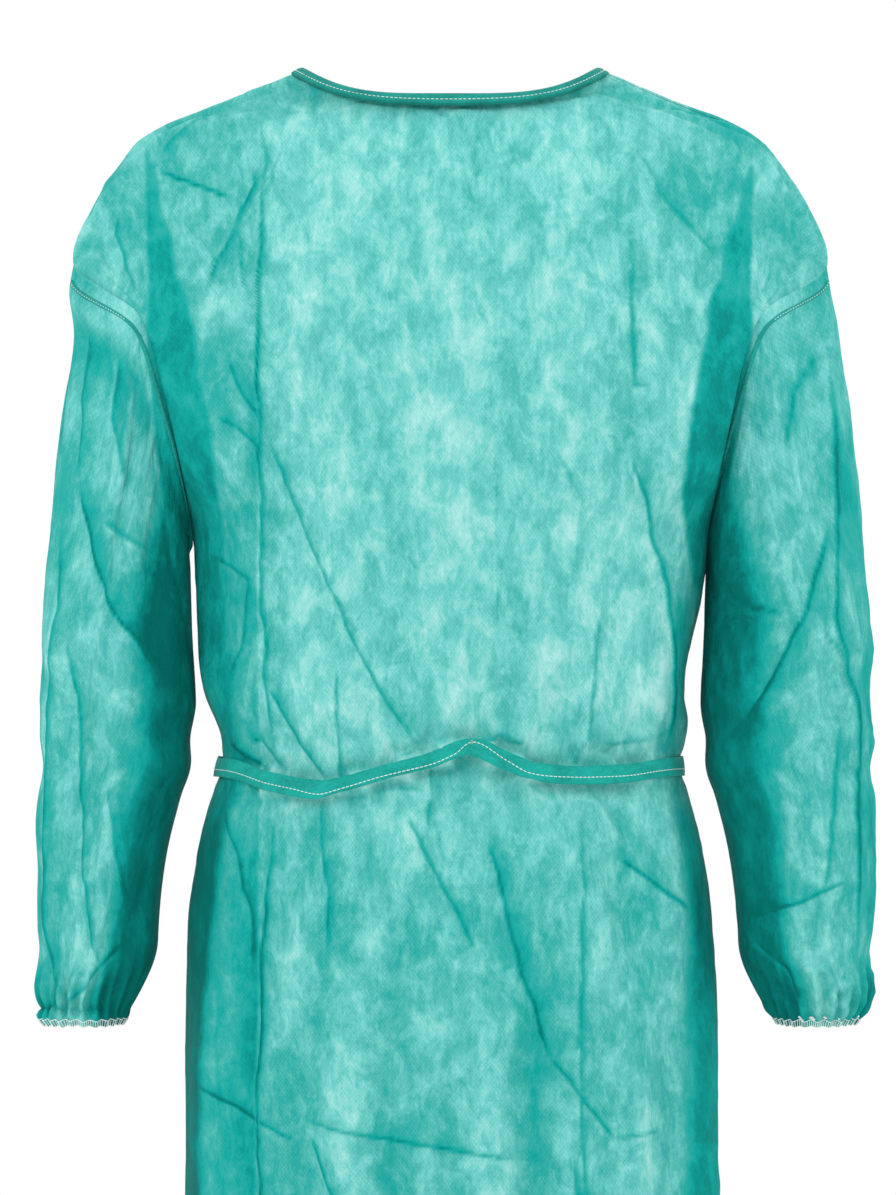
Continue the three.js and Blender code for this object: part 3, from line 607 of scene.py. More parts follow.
def draped(points, faces, pinned, solid_points, solid_faces, most):
    """Lets cloth fall over a hidden solid and returns where its points come to rest."""
    cloth = make_piece("falling_cloth", points, faces)
    solid = make_piece("hidden_body", solid_points, solid_faces)
    solid.modifiers.new("collision", "COLLISION")
    solid.collision.thickness_outer = 0.002
    solid.collision.cloth_friction = 12
    cloth.vertex_groups.new(name="pin").add([int(i) for i in pinned], 1.0, "REPLACE")
    modifier = cloth.modifiers.new("cloth", "CLOTH")
    for key, value in CLOTH_SETTINGS.items():
        setattr(modifier.settings, key, value)
    modifier.collision_settings.distance_min = 0.003
    modifier.point_cache.frame_end = DRAPE_FRAMES
    for number in range(1, DRAPE_FRAMES + 1):
        scene.frame_set(number)
    shown = cloth.evaluated_get(bpy.context.evaluated_depsgraph_get())
    fallen = np.array([v.co for v in shown.data.vertices]) / MM
    scene.frame_set(1)
    for thing in (cloth, solid):
        bpy.data.objects.remove(thing)
    move = fallen - points
    length = np.linalg.norm(move, axis=1, keepdims=True)
    limit = np.asarray(most)[:, None]
    return points + move * limit * np.tanh(length / limit) / np.maximum(length, 1e-9)


def drape_body():
    grids = [folded_body(face) for face in (FRONT, BACK)]
    points, faces, ids = body_mesh(grids)
    height = np.stack([g[..., 2] for g in grids])
    x = np.stack([g[..., 0] for g in grids])
    tie_height = np.stack([WAIST_Z + TIE_CURVE(x[FRONT]), np.full_like(x[BACK], WAIST_Z + BACK_TIE_DROP)])
    pin = np.abs(height - tie_height) < 7
    pin[:, 0] = True
    for column in (0, -1):
        pin[:, open_row, column] = True
        pin[:, body_levels <= UNDERARM, column] = True
    most = np.zeros(len(points))
    beside_arm = smooth((np.abs(x) / WAIST_HALF_WIDTH - 0.7) / 0.25) * smooth((-170 - height) / 120)
    free = lerp(0.2, 1, smooth((1 - np.abs(body_u)) * 4))
    most[ids] = lerp(MOST_MOVE["trunk"], MOST_MOVE["beside the arm"], beside_arm) * free
    inside, _, _ = body_mesh([body_point(face, body_u[None, :], body_levels[:, None], -BODY_INSET)
                              for face in (FRONT, BACK)])
    resting = draped(points, faces, np.unique(ids[pin]), inside, faces, most)
    return resting[ids]


def drape_sleeve(side):
    points, faces, ids = sleeve_mesh(folded_sleeve(side))
    base = sleeve_grid(side)
    inside, _, _ = sleeve_mesh(base - outward(base, side) * BODY_INSET)
    beside_body = smooth((-np.cos(sleeve_q * 2 * np.pi) - 0.1) / 0.6)
    most = np.zeros(len(points))
    most[ids] = lerp(MOST_MOVE["sleeve"], MOST_MOVE["beside the body"], beside_body)
    return draped(points, faces, np.unique(ids[[0, 1, -2, -1]]), inside, faces, most)[ids]


# ---------------------------------------------------------------- ties: height of the waist tie

TIE_CURVE = through([
    (-SKIRT_HALF_WIDTH, -4), (-WAIST_HALF_WIDTH * 0.95, -6), (-123, -16), (-WAIST_HALF_WIDTH * 0.54, -21),
    (-76, -18), (-43, -8), (-14, 0), (TACK_X, 10), (38, 0), (TACK_X + 44, -8), (86, -11), (120, -10),
    (WAIST_HALF_WIDTH * 0.95, -5), (SKIRT_HALF_WIDTH, -4),
])


# ---------------------------------------------------------------- creases after the drape

# Creases of the trunk: half width, share of painted shade, height, and the (x, z) points it follows.
# Each crease is painted darker, as painted shade where the cloth turns and two layers are pressed together.
TRUNK_CREASES = [
    (2.6, 0.36, 1.6, [(-137, -44), (-133, -73), (-137, -105), (-135, -137), (-138, -223), (-135, -331),
                      (-132, -424), (-125, -509)]),
    (1.8, 0.34, 1.4, [(-212, -80), (-190, -88), (-156, -102)]),
    (1.4, 0.16, 1.0, [(-177, -34), (-210, -66)]),
    (5.0, 0.36, 2.2, [(-142, -76), (-141, -93), (-158, -130), (-176, -170)]),
    (1.6, 0.24, 1.2, [(-152, -125), (-146, -170)]),
    (3.6, 0.26, 1.8, [(-241, -112), (-243, -127), (-227, -170)]),
    (2.4, 0.40, 1.8, [(-123, -528), (-129, -587), (-135, -632), (-135, -765), (-133, -840), (-134, HEM_Z)]),
    (2.0, 0.30, 1.8, [(-132, -267), (-112, -318), (-89, -371), (-70, -415), (-43, -461), (-22, -493)]),
    (3.0, 0.24, 1.4, [(-158, -218), (-147, -246), (-137, -262)]),
    (2.4, 0.24, 1.4, [(-167, -260), (-151, -269), (-137, -281)]),
    (2.4, 0.24, 1.2, [(-181, -352), (-160, -362), (-142, -373), (-148, -421), (-158, -447)]),
    (2.6, 0.28, 1.6, [(-160, -489), (-126, -512)]),
    (2.2, 0.30, 1.6, [(-144, -489), (-136, -484), (-123, -503)]),
    (4.5, 0.36, 2.4, [(-129, -445), (-112, -479), (-89, -512)]),
    (4.0, 0.30, 2.2, [(-82, -433), (-80, -470), (-82, -516)]),
    (2.6, 0.26, 1.3, [(130, -120), (129, -197), (130, -237), (147, -239)]),
    (6.0, 0.42, 2.2, [(125, -281), (138, -318), (140, -341), (152, -378), (159, -436), (154, -498)]),
    (2.2, 0.26, 1.4, [(108, -392), (102, -442), (100, -498)]),
    (15.0, 0.10, 1.6, [(27, -239), (36, -378), (27, -447)]),
    (11.0, 0.10, 1.4, [(-82, -313), (-84, -401), (-86, -436)]),
    (2.4, 0.24, 1.3, [(112, -486), (154, -484)]),
    (3.0, 0.26, 1.5, [(87, -503), (103, -477)]),
    (3.2, 0.34, 2.0, [(18, -489), (36, -484), (56, -486)]),
    (9.0, 0.14, 1.6, [(73, -281), (92, -318), (87, -378)]),
    (5.0, 0.22, 1.8, [(134, -65), (153, -99), (194, -144)]),
    (5.0, 0.18, 1.5, [(-120, -60), (-138, -110), (-180, -160)]),
    (2.0, 0.26, 1.4, [(-93, -528), (-91, -559), (-84, -597), (-85, -648)]),
    (2.0, 0.28, 1.7, [(-30, -541), (-18, -571), (3, -607), (17, -641)]),
    (5.0, 0.26, 1.8, [(-13, -508), (-15, -555)]),
    (7.0, 0.34, 2.0, [(25, -556), (34, -592), (48, -653), (74, -719)]),
    (2.4, 0.32, 1.5, [(70, -712), (92, -744), (114, -772)]),
    (2.0, 0.28, 1.4, [(94, -523), (92, -597), (90, -727), (94, -900), (93, HEM_Z)]),
    (2.4, 0.34, 1.5, [(118, -575), (144, -592), (170, -612)]),
    (2.2, 0.28, 1.4, [(-104, -757), (-58, -767), (53, -784)]),
    (2.4, 0.28, 1.3, [(-173, -734), (-137, -757), (-108, -774)]),
    (4.0, 0.38, 1.6, [(-98, -767), (-86, -798), (-60, -850)]),
    (2.2, 0.20, 1.2, [(114, -771), (150, -765)]),
    (8.0, 0.32, 1.8, [(84, -780), (92, -850), (80, -930)]),
    (2.6, 0.18, 1.2, [(-84, -525), (-18, -527)]),
    (4.0, 0.24, 1.4, [(-163, -536), (-150, -577), (-142, -607), (-141, -653)]),
    (2.4, 0.26, 1.4, [(-190, -1010), (-60, -1004), (60, -1012), (190, -1006)]),
    (5.0, 0.24, 1.6, [(30, -860), (14, -950), (26, -1060)]),
    (5.0, 0.24, 1.6, [(-60, -905), (-40, -990), (-52, -1090)]),
    (3.0, 0.26, 1.3, [(-128, -900), (-70, -960), (-20, -985)]),
    (3.0, 0.26, 1.3, [(150, -860), (100, -930), (60, -1000)]),
    (6.0, 0.24, 1.6, [(140, -990), (150, -1070), (142, -1140)]),
]
# The same for each sleeve, seen from the front. The back of a sleeve has the other one's.
SLEEVE_CREASES = {
    -1: [
        (4.0, 0.36, 2.0, [(-286, -330), (-288, -416), (-293, -493), (-294, -569), (-296, -620),
                          (-280, -684)]),
        (8.0, 0.44, 2.8, [(-272, -300), (-260, -360), (-242, -399), (-217, -429), (-197, -449)]),
        (4.0, 0.32, 2.0, [(-280, -409), (-272, -457), (-269, -518), (-263, -582), (-255, -633),
                          (-242, -660)]),
        (2.4, 0.24, 1.4, [(-256, -332), (-214, -354)]),
        (2.8, 0.28, 1.5, [(-275, -676), (-230, -633)]),
        (5.0, 0.20, 1.6, [(-242, -518), (-237, -569), (-227, -615)]),
        (5.0, 0.30, 1.8, [(-262, -190), (-270, -240), (-272, -300)]),
        (4.0, 0.24, 1.4, [(-240, -210), (-246, -260), (-236, -310)]),
    ],
    1: [
        (3.0, 0.22, 1.2, [(251, -95), (264, -133)]),
        (4.0, 0.30, 1.8, [(262, -210), (245, -240), (237, -279)]),
        (5.0, 0.38, 2.2, [(271, -200), (277, -304), (273, -403), (292, -467), (290, -560), (288, -650)]),
        (2.6, 0.26, 1.4, [(200, -377), (215, -394), (237, -398)]),
        (8.0, 0.42, 2.8, [(271, -330), (251, -403), (222, -458), (204, -484)]),
        (3.0, 0.24, 1.5, [(262, -405), (281, -432), (294, -467)]),
        (2.4, 0.26, 1.5, [(277, -479), (273, -531), (266, -600)]),
        (3.2, 0.32, 1.8, [(215, -614), (251, -603), (281, -588)]),
        (4.0, 0.30, 1.8, [(219, -629), (239, -650), (251, -672)]),
    ],
}


def distance_to(x, z, points):
    """Signed distance to a line through points, and the share of the way along it."""
    points = np.array(points, float)
    steps = np.diff(points, axis=0)
    lengths = np.hypot(*steps.T)
    starts = np.concatenate([[0], np.cumsum(lengths)])
    best, place = np.full(x.shape, 1e9), np.zeros(x.shape)
    for (px, pz), (sx, sz), length, start in zip(points, steps, lengths, starts):
        share = np.clip(((x - px) * sx + (z - pz) * sz) / length ** 2, 0, 1)
        far = np.hypot(x - px - share * sx, z - pz - share * sz)
        nearer = far < np.abs(best)
        best = np.where(nearer, far * np.sign((z - pz) * sx - (x - px) * sz), best)
        place = np.where(nearer, (start + share * length) / starts[-1], place)
    return best, place


def creased(x, z, table):
    """Height and painted shade of a table of creases, which fade out at their ends.

    A crease has a sharp edge on one side, where the cloth turns, and fades out on its other side.
    """
    height, shade = np.zeros(x.shape), np.zeros(x.shape)
    x = x + 1.8 * noise(x, z, 26, 801) + 0.7 * noise(x, z, 9, 802)
    for width, dark, rise, points in table:
        far, place = distance_to(x, z, points)
        fade = smooth(place * 6 + 0.1) * smooth((1 - place) * 6 + 0.1)
        edge, side = bell(far / 1.5), np.where(far > 0, np.exp(-far / (1.6 * width)), bell(far / 1.5))
        height += rise * fade * np.where(far > 0, np.exp(-far / (1.5 * width)), np.maximum(0, 1 + far / 2.4))
        shade = np.maximum(shade, dark * fade * (0.55 * edge + 0.85 * side))
        # Painted highlight: a pale line just past the crease's sharp edge.
        shade -= 0.10 * fade * bell((far + 3.4) / 1.6)
    return height, shade


def crumple(x, z, seed):
    """Fine ridges that meet at points, as in crushed non-woven cloth."""
    ridge = sum(weight * (1 - 2 * np.abs(noise(x + 9 * noise(x, z, 30, seed + 5), z * 0.7, size, seed + i)))
                for i, (size, weight) in enumerate(((46, 1.0), (24, 0.6), (12, 0.3))))
    return ridge


def armhole_strip(x, z):
    """The dark strip between trunk and arm, seen from the front, where the cloth folds over: its cover and
    its painted shade.
    """
    reach = np.abs(x)
    right = x < 0
    low = np.where(right, -456, -398)
    top = np.where(right, -57, -68)
    height = np.clip((z - low) / (top - low), 0, 1)
    outer = np.interp(height, (0, 0.26, 0.45, 0.66, 1), (178, 199, 210, 217, 221))
    inner = np.interp(height, (0, 0.26, 0.45, 0.66, 1), (177, 164, 171, 187, 220))
    ragged = 2.5 * noise(x * 0.2, z, 22, 77)
    band = smooth((reach - inner + 3 + ragged) / 6) * smooth((outer - reach + 2) / 3.5)
    cover = band * smooth((z - low) / 30) * smooth((top - z) / 12)
    return cover, lerp(0.80, 0.71, smooth((z + 320) / 160))


def body_shade(face, x, z, out, lines):
    """Painted shade of the trunk's cloth and its overlaps: 0 where the cloth is pale, 1 where it is deepest.
    """
    border = edge_x(level_at(np.minimum(z, UNDERARM_Z)))
    skirt = smooth((WAIST_Z + 10 - z) / 120)
    # Painted shade: darker at the sides (rim), where the cloth turns away from the front; the skirt is
    # darker too.
    rim = smooth((np.abs(x) - border + 27) / 15) * smooth((UNDERARM_Z - z) / 60 + 0.4)
    shade = 0.25 + 0.15 * skirt + 0.05 * smooth((z + 330) / 150) + rim * lerp(0.24, 0.46, skirt)
    shoulder = smooth((np.abs(x) - 120) / 90) * smooth((z + 210) / 120)
    side_panel = smooth((-136 - x) / 3) if face == FRONT else smooth((x - 136) / 3)
    side_panel = side_panel * smooth((-150 - z) / 80)
    # Painted shade: darker along the creases (lines) and in the hollows of the drape (out), paler on its
    # ridges.
    shade = shade + 0.15 * shoulder + 0.26 * side_panel + lines - 0.03 * out
    if face == FRONT:
        cover, strip = armhole_strip(x, z)
        shade = lerp(shade, np.maximum(strip, strip + 0.4 * lines - 0.01 * out), cover)
    return np.clip(shade, 0, 1)


# Painted shade of a sleeve: darker on its inner side, which faces the body, along its creases and in the
# hollows of its drape, and towards the cuff, most at its sides; the strip between trunk and arm is painted
# over it.
def sleeve_shade(side, q, x, z, out, lines):
    inner = -np.cos(q * 2 * np.pi) + 0.10 * noise(q * 40, z, 34, 91)
    shade = lerp(0.36 if side < 0 else 0.40, 0.97, smooth((inner - 0.05) / 0.55)) + 0 * z
    shade = shade + 0.22 * smooth((-inner - 0.84) / 0.12)
    shade = lerp(0.42, shade, smooth((-200 - z) / 190))
    cuff = smooth((CUFF_Z + 60 - z) / 50)
    shade = shade + cuff * (0.06 + 0.26 * smooth((np.abs(inner) - 0.5) / 0.35)) + lines - 0.04 * out
    cover, strip = armhole_strip(x, z)
    return np.clip(lerp(shade, strip, cover), 0, 1)


# ---------------------------------------------------------------- cloth pieces

SECOND_LAYER = 3.0                # how deep the right back panel lies under the left one
BACK_COLUMNS = 170


def blurred(values, times):
    """Values of a grid averaged with their neighbours, many times."""
    for _ in range(times):
        for axis in (0, 1):
            v = np.moveaxis(values, axis, 0)
            v = np.concatenate([v[:1], (v[:-2] + 2 * v[1:-1] + v[2:]) / 4, v[-1:]])
            values = np.moveaxis(v, 0, axis)
    return values


def relief(values):
    """How far each place of a coarse grid stands above its surroundings, a few centimetres across."""
    return refined(values - blurred(values, 14))


def row_arc(grid):
    """Distance along each row of a grid, from its middle column."""
    steps = np.linalg.norm(np.diff(grid, axis=1), axis=-1)
    arc = np.concatenate([np.zeros((len(grid), 1)), np.cumsum(steps, axis=1)], 1)
    return arc - arc[:, [grid.shape[1] // 2]]


def face_normals(grid, turn):
    """Outward normals of the trunk's front (turn 1) or back (turn -1)."""
    normals = grid_normals(grid)
    return normals * -turn * np.sign(normals[..., 1].mean())


def finished(grid, base, face):
    """A draped grid with more points and its creases, its flat base, its shade and normals."""
    turn = 1 if face == FRONT else -1
    fine, flat = refined(grid), refined(base)
    rough_normals, normals = face_normals(grid, turn), face_normals(fine, turn)
    x, z = flat[..., 0], flat[..., 2]
    tie_height = WAIST_Z + (TIE_CURVE(x) if face == FRONT else BACK_TIE_DROP)
    free = smooth((np.abs(z - tie_height) - TIE_WIDTH * 0.45) / 7)
    free = free * smooth(np.arange(len(fine)) / 12)[:, None]
    free = free * smooth((1 - np.abs(fine_u)) * 16)
    height, dark = creased(x * turn, z, TRUNK_CREASES)
    detail = height + 0.7 * crumple(x, z, 60 + face)
    # The relief of the drape and creases, used only for painted shade: darker in its hollows, paler on its
    # ridges.
    out = relief(((grid - base) * rough_normals).sum(-1)) + 0.4 * detail
    return fine + normals * (detail * free)[..., None], flat, body_shade(face, x, z, out, dark), normals


def four_times(values):
    return halved(halved(values[:, None], 0), 0)[:, 0]


fine_levels, fine_u = four_times(body_levels), four_times(body_u)


def trunk_uv(base):
    """Cloth coordinates: along the rows, and straight across above the underarms."""
    x, z = base[..., 0], base[..., 2]
    along = row_arc(base) + x[:, [base.shape[1] // 2]]
    return np.stack([lerp(along, x, smooth((z - UNDERARM_Z) / 80)), z], -1) * MM


def cloth_piece(name, grid, shade, uv):
    piece = make_piece(name, grid, grid_faces(*grid.shape[:2]))
    write_attribute(piece, "painted_shade_and_layers", shade)
    write_uv(piece, uv)
    return piece


body = drape_body()
cloth, flat_cloth, cloth_shade, cloth_normals = zip(*(
    finished(body[face], base_point(face, body_u[None, :], body_levels[:, None]), face)
    for face in (FRONT, BACK)))
front_piece = cloth_piece("front_panel_cloth", cloth[FRONT], cloth_shade[FRONT],
                          trunk_uv(flat_cloth[FRONT]))


def back_columns(side):
    """Columns of a back panel in the back's own u, from its free edge to the side seam."""
    overlap = lerp(-0.3, BACK_OVERLAP, smooth((fine_levels - 1) / 4))
    free = -2 / np.pi * np.arcsin(overlap / edge_x(fine_levels))
    return side * lerp(free[:, None], 1, np.linspace(0, 1, BACK_COLUMNS)[None, :])


def sampled(grid, u):
    """A grid's rows read at other places across."""
    return np.stack([[np.interp(u[r], fine_u, grid[r, :, k]) for k in range(grid.shape[2])]
                     for r in range(len(u))]).transpose(0, 2, 1)


def back_panel(side, hand):
    u = back_columns(side)
    points = sampled(cloth[BACK], u)
    normals = unit(sampled(cloth_normals[BACK], u))
    base = sampled(flat_cloth[BACK], u)
    share = np.linspace(0, 1, u.shape[1])[None, :]
    edge_wave = 2.0 * bell(share * 14) * noise(base[..., 2], 0 * share, 55, 90 + side)
    sunk = SECOND_LAYER * smooth((fine_levels[:, None] - 0.5) * 2) * smooth((1 - share) * 3)
    lift = edge_wave + (sunk * -1 if side < 0 else 0.4)
    # Painted darkening: where the two back panels overlap, the doubled cloth is painted darker, as light
    # passing it twice looks.
    doubled = smooth((0.42 - share) * 14) * smooth((fine_levels[:, None] - 2) / 2)
    shade = sampled(cloth_shade[BACK][..., None], u)[..., 0] + 0.16 * doubled
    return cloth_piece("back_panel_%s_cloth" % hand, points + normals * lift[..., None],
                       np.clip(shade, 0, 1), trunk_uv(base))


back_pieces = {side: back_panel(side, hand) for side, hand in SIDES}

CUFF_PLEATS = 24
ELBOW_ROW = 4 * UPPER_ROWS
sleeves = {}
for side, hand in SIDES:
    fallen, straight = drape_sleeve(side), sleeve_grid(side)
    fine, base = refined(fallen), refined(straight)
    x, z = base[..., 0], base[..., 2]
    q = four_times(sleeve_q)[None, :]
    way_out = outward(fine, side)
    cuff_near = smooth((CUFF_Z + 62 - z) / 50)
    pleats = cuff_near * 2.2 * np.sin(CUFF_PLEATS * q * 2 * np.pi + 1.4 * noise(q * 300, z, 40, 5))
    pleats *= lerp(1, 0.4, smooth((CUFF_Z + 10 - z) / 10))
    hold = smooth(np.arange(len(fine)) / 16)[:, None]
    facing = smooth((np.cos(q * 2 * np.pi) + 1.02) / 0.3)
    at_front = smooth(np.sin(q * 2 * np.pi) * 4 + 0.5)
    height, dark = creased(x, z, SLEEVE_CREASES[side])
    behind, dark_behind = creased(-x, z, SLEEVE_CREASES[-side])
    height, dark = lerp(behind, height, at_front), lerp(dark_behind, dark, at_front)
    detail = (height + 0.9 * crumple(q * 380, z, 70 + side)) * hold * facing + pleats
    # The relief of the drape and creases, used only for painted shade: darker in its hollows, paler on its
    # ridges.
    fold = relief(((fallen - straight) * outward(fallen, side)).sum(-1)) + 0.4 * detail
    fine = fine + way_out * detail[..., None]
    fine[:, -1] = fine[:, 0]
    shade = sleeve_shade(side, q, x, z, fold, dark)
    down = np.concatenate([[0], np.cumsum(np.linalg.norm(np.diff(base, axis=0), axis=-1).mean(1))])
    uv = np.stack(np.broadcast_arrays(q * np.pi * SLEEVE_WIDTH, -down[:, None]), -1) * MM
    sleeves[side] = {"grid": fine, "out": way_out}
    for part, rows in (("upper", slice(0, ELBOW_ROW + 1)), ("lower", slice(ELBOW_ROW, None))):
        sleeves[side][part] = cloth_piece("sleeve_%s_%s_cloth" % (part, hand), fine[rows],
                                          shade[rows], uv[rows])


# ---------------------------------------------------------------- materials

# Colours in linear light, from pale to the deepest painted shade: fuzzy fibre over white, one layer, several
# layers, and the deepest.
TONES = [(0.0, (0.42, 0.80, 0.76)), (0.26, (0.165, 0.61, 0.565)), (0.42, (0.085, 0.465, 0.425)),
         (0.56, (0.030, 0.38, 0.345)), (0.72, (0.004, 0.335, 0.300)), (0.84, (0.002, 0.245, 0.222)),
         (1.0, (0.0006, 0.145, 0.125))]


class Nodes:
    """Short names for building a node tree."""

    def __init__(self, name):
        self.material = bpy.data.materials.new(name)
        self.material.use_nodes = True
        self.tree = self.material.node_tree
        self.shader = self.tree.nodes["Principled BSDF"]

    def add(self, kind, **inputs):
        """A node; a node given as an input is linked by its first output."""
        made = self.tree.nodes.new("ShaderNode" + kind)
        self.feed(made, **inputs)
        return made

    def feed(self, target, **inputs):
        for key, value in inputs.items():
            socket = (target.inputs[int(key[1:])] if key[0] == "i" and key[1:].isdigit()
                      else target.inputs[key.replace("_", " ")])
            if isinstance(value, bpy.types.Node):
                self.tree.links.new(value.outputs[0], socket)
            elif isinstance(value, bpy.types.NodeSocket):
                self.tree.links.new(value, socket)
            else:
                socket.default_value = value

    def cloth_place(self, scale, turn=0.0):
        """The cloth's own coordinates, in metres, scaled and turned."""
        uv = self.tree.nodes.new("ShaderNodeUVMap")
        uv.uv_map = "cloth"
        return self.add("Mapping", Vector=uv, Scale=(*scale, 1), Rotation=(0, 0, turn))

    def noise(self, scale, detail=3.0, rough=0.5, turn=0.0, distortion=0.0):
        return self.add("TexNoise", Vector=self.cloth_place(scale, turn), Scale=1.0, Detail=detail,
                        Roughness=rough, Distortion=distortion)

    def math(self, operation, a, b=0.0, clamp=False):
        made = self.add("Math", i0=a, i1=b)
        made.operation = operation
        made.use_clamp = clamp
        return made

    def spread(self, value, low, high, to_low=0.0, to_high=1.0):
        return self.add("MapRange", Value=value, From_Min=low, From_Max=high, To_Min=to_low,
                        To_Max=to_high)

    def mix(self, factor, a, b):
        made = self.tree.nodes.new("ShaderNodeMix")
        made.data_type = "RGBA"
        for socket, value in ((made.inputs[0], factor), (made.inputs[6], a), (made.inputs[7], b)):
            if isinstance(value, bpy.types.Node):
                out = value.outputs[2] if value.bl_idname == "ShaderNodeMix" else value.outputs[0]
                self.tree.links.new(out, socket)
            else:
                socket.default_value = (*value, 1) if isinstance(value, tuple) else value
        return made

    def ramp(self, factor, stops):
        """A colour ramp with a smooth change between its stops."""
        made = self.add("ValToRGB", Fac=factor)
        points = made.color_ramp.elements
        while len(points) < len(stops):
            points.new(0.5)
        for point, (place, value) in zip(points, stops):
            point.position, point.color = place, (*value, 1)
        self.tree.links.new(made.outputs[0], self.shader.inputs["Base Color"])
        return made

    def colour(self, mix):
        self.tree.links.new(mix.outputs[2], self.shader.inputs["Base Color"])

    def bumps(self, *heights):
        """Stacks bump maps, each a height node, a strength and a distance in metres."""
        last = None
        for height, strength, distance in heights:
            bump = self.add("Bump", Strength=strength, Distance=distance, Height=height)
            if last is not None:
                self.tree.links.new(last.outputs[0], bump.inputs["Normal"])
            last = bump
        self.tree.links.new(last.outputs[0], self.shader.inputs["Normal"])


def bond_points(nodes, pitch):
    """The embossed lattice of tiny diagonal dots that holds non-woven cloth together."""
    waves = [nodes.add("TexWave", Vector=nodes.cloth_place((1 / pitch, 1 / pitch), turn), Scale=0.5)
             for turn in (math.radians(38), math.radians(-38))]
    return nodes.math("MULTIPLY", *(wave.outputs[1] for wave in waves))


def gown_cloth():
    """Sheer spunbond cloth: mottled, streaked by its fibres, darker where its cloth overlaps and where shade
    is painted on it.
    """
    n = Nodes("gown_cloth")
    # This attribute holds painted shade, together with the darkening of overlapping cloth.
    painted_shade_and_layers = n.tree.nodes.new("ShaderNodeAttribute")
    painted_shade_and_layers.attribute_name = "painted_shade_and_layers"
    clouds = n.spread(n.noise((15, 8), 4, 0.55, -0.2, 0.6), 0.33, 0.67, -0.5, 0.5)
    patches = n.spread(n.noise((54, 34), 10, 0.70, 0.35, 0.35), 0.41, 0.64, -0.35, 0.65)
    streaks = n.spread(n.noise((150, 14), 5, 0.65, 0.04, 0.2), 0.34, 0.66, -0.5, 0.5)
    fibres = n.spread(n.noise((620, 420), 3, 0.7, 0.62), 0.30, 0.70, -0.5, 0.5)
    scratches = n.spread(n.noise((230, 90), 8, 0.78, 0.2, 0.4), 0.36, 0.64, -0.5, 0.5)
    hatch = n.spread(bond_points(n, 0.0034), 0.1, 0.7, 0.5, -0.5)
    grain = n.math("MULTIPLY", clouds, 0.20)
    for part, weight in ((patches, -0.30), (streaks, 0.05), (fibres, 0.07), (scratches, 0.15),
                         (hatch, 0.05)):
        grain = n.math("ADD", grain, n.math("MULTIPLY", part, weight))
    # Where the painted shade is deepest the mottling is calmer, because light passes several layers of it.
    calm = n.spread(painted_shade_and_layers.outputs["Fac"], 0.45, 1.0, 1.0, 0.35)
    tone = n.math("ADD", painted_shade_and_layers.outputs["Fac"], n.math("MULTIPLY", grain, calm), clamp=True)
    n.ramp(tone, TONES)
    n.feed(n.shader, Alpha=n.spread(tone, 0.1, 0.75, 0.84, 1.0),
           Roughness=n.spread(patches, -0.5, 0.5, 0.6, 0.8), Specular_IOR_Level=0.03,
           Sheen_Weight=0.01, Sheen_Roughness=0.4)
    creping = n.noise((95, 60), 6, 0.62, 0.5, 0.8)
    wrinkles = n.noise((34, 20), 4, 0.55, -0.3, 0.9)
    n.bumps((wrinkles, 0.8, 0.0030), (creping, 0.7, 0.0012), (bond_points(n, 0.0012), 0.6, 0.00020),
            (fibres, 0.4, 0.00015))
    return n.material


def trim_cloth(name, colour, ribs=0.0):
    """The same cloth folded several times: denser and deeper."""
    n = Nodes(name)
    fine = n.spread(n.noise((700, 300), 4, 0.65, 0.5), 0.3, 0.7)
    patches = n.spread(n.noise((70, 45), 5, 0.6, 0.0, 0.5), 0.35, 0.68)
    pale = tuple(min(1, c * 1.5 + 0.03) for c in colour)
    deep = tuple(c * 0.62 for c in colour)
    n.colour(n.mix(n.math("MULTIPLY", fine, 0.35), n.mix(patches, colour, deep), pale))
    n.feed(n.shader, Roughness=n.spread(patches, 0, 1, 0.55, 0.75), Specular_IOR_Level=0.08,
           Sheen_Weight=0.03)
    heights = [(n.noise((150, 420), 4, 0.6), 0.5, 0.0005), (bond_points(n, 0.0012), 0.5, 0.00014)]
    if ribs:
        wave = n.add("TexWave", Vector=n.cloth_place((1, 1), math.pi / 2), Scale=ribs, Distortion=1.5)
        heights.append((wave.outputs[1], 0.5, 0.0004))
    n.bumps(*heights)
    return n.material


def thread_material():
    """Twisted white sewing thread, tinted pale teal in patches."""
    n = Nodes("white_thread")
    twist = n.add("TexWave", Vector=n.cloth_place((1, 1), 0.9), Scale=700.0)
    fuzz = n.noise((900, 900), 2)
    n.colour(n.mix(n.spread(fuzz, 0.3, 0.7), (0.86, 0.93, 0.91), (0.62, 0.82, 0.78)))
    n.feed(n.shader, Roughness=0.6, Sheen_Weight=0.3)
    n.bumps((twist.outputs[1], 0.4, 0.0001), (fuzz, 0.2, 0.0001))
    return n.material


def elastic_material():
    """Knitted white elastic: ribs along it and rows of loops across."""
    n = Nodes("white_elastic")
    ribs = n.add("TexWave", Vector=n.cloth_place((1, 1), 0.0), Scale=320.0)
    loops = n.add("TexWave", Vector=n.cloth_place((1, 1), math.pi / 2), Scale=260.0)
    dust = n.noise((60, 60), 4)
    n.colour(n.mix(n.spread(dust, 0.3, 0.7), (0.84, 0.90, 0.88), (0.66, 0.78, 0.75)))
    n.feed(n.shader, Roughness=0.8)
    n.bumps((ribs.outputs[1], 0.5, 0.0003), (loops.outputs[1], 0.4, 0.0002))
    return n.material


CLOTH_LOOK = gown_cloth()
BINDING_LOOK = trim_cloth("neck_binding_cloth", (0.006, 0.262, 0.220), 90.0)
TIE_LOOK = trim_cloth("waist_tie_cloth", (0.004, 0.330, 0.280))
SEAM_LOOK = trim_cloth("seam_cloth", (0.010, 0.300, 0.260), 160.0)
THREAD_LOOK = thread_material()
ELASTIC_LOOK = elastic_material()


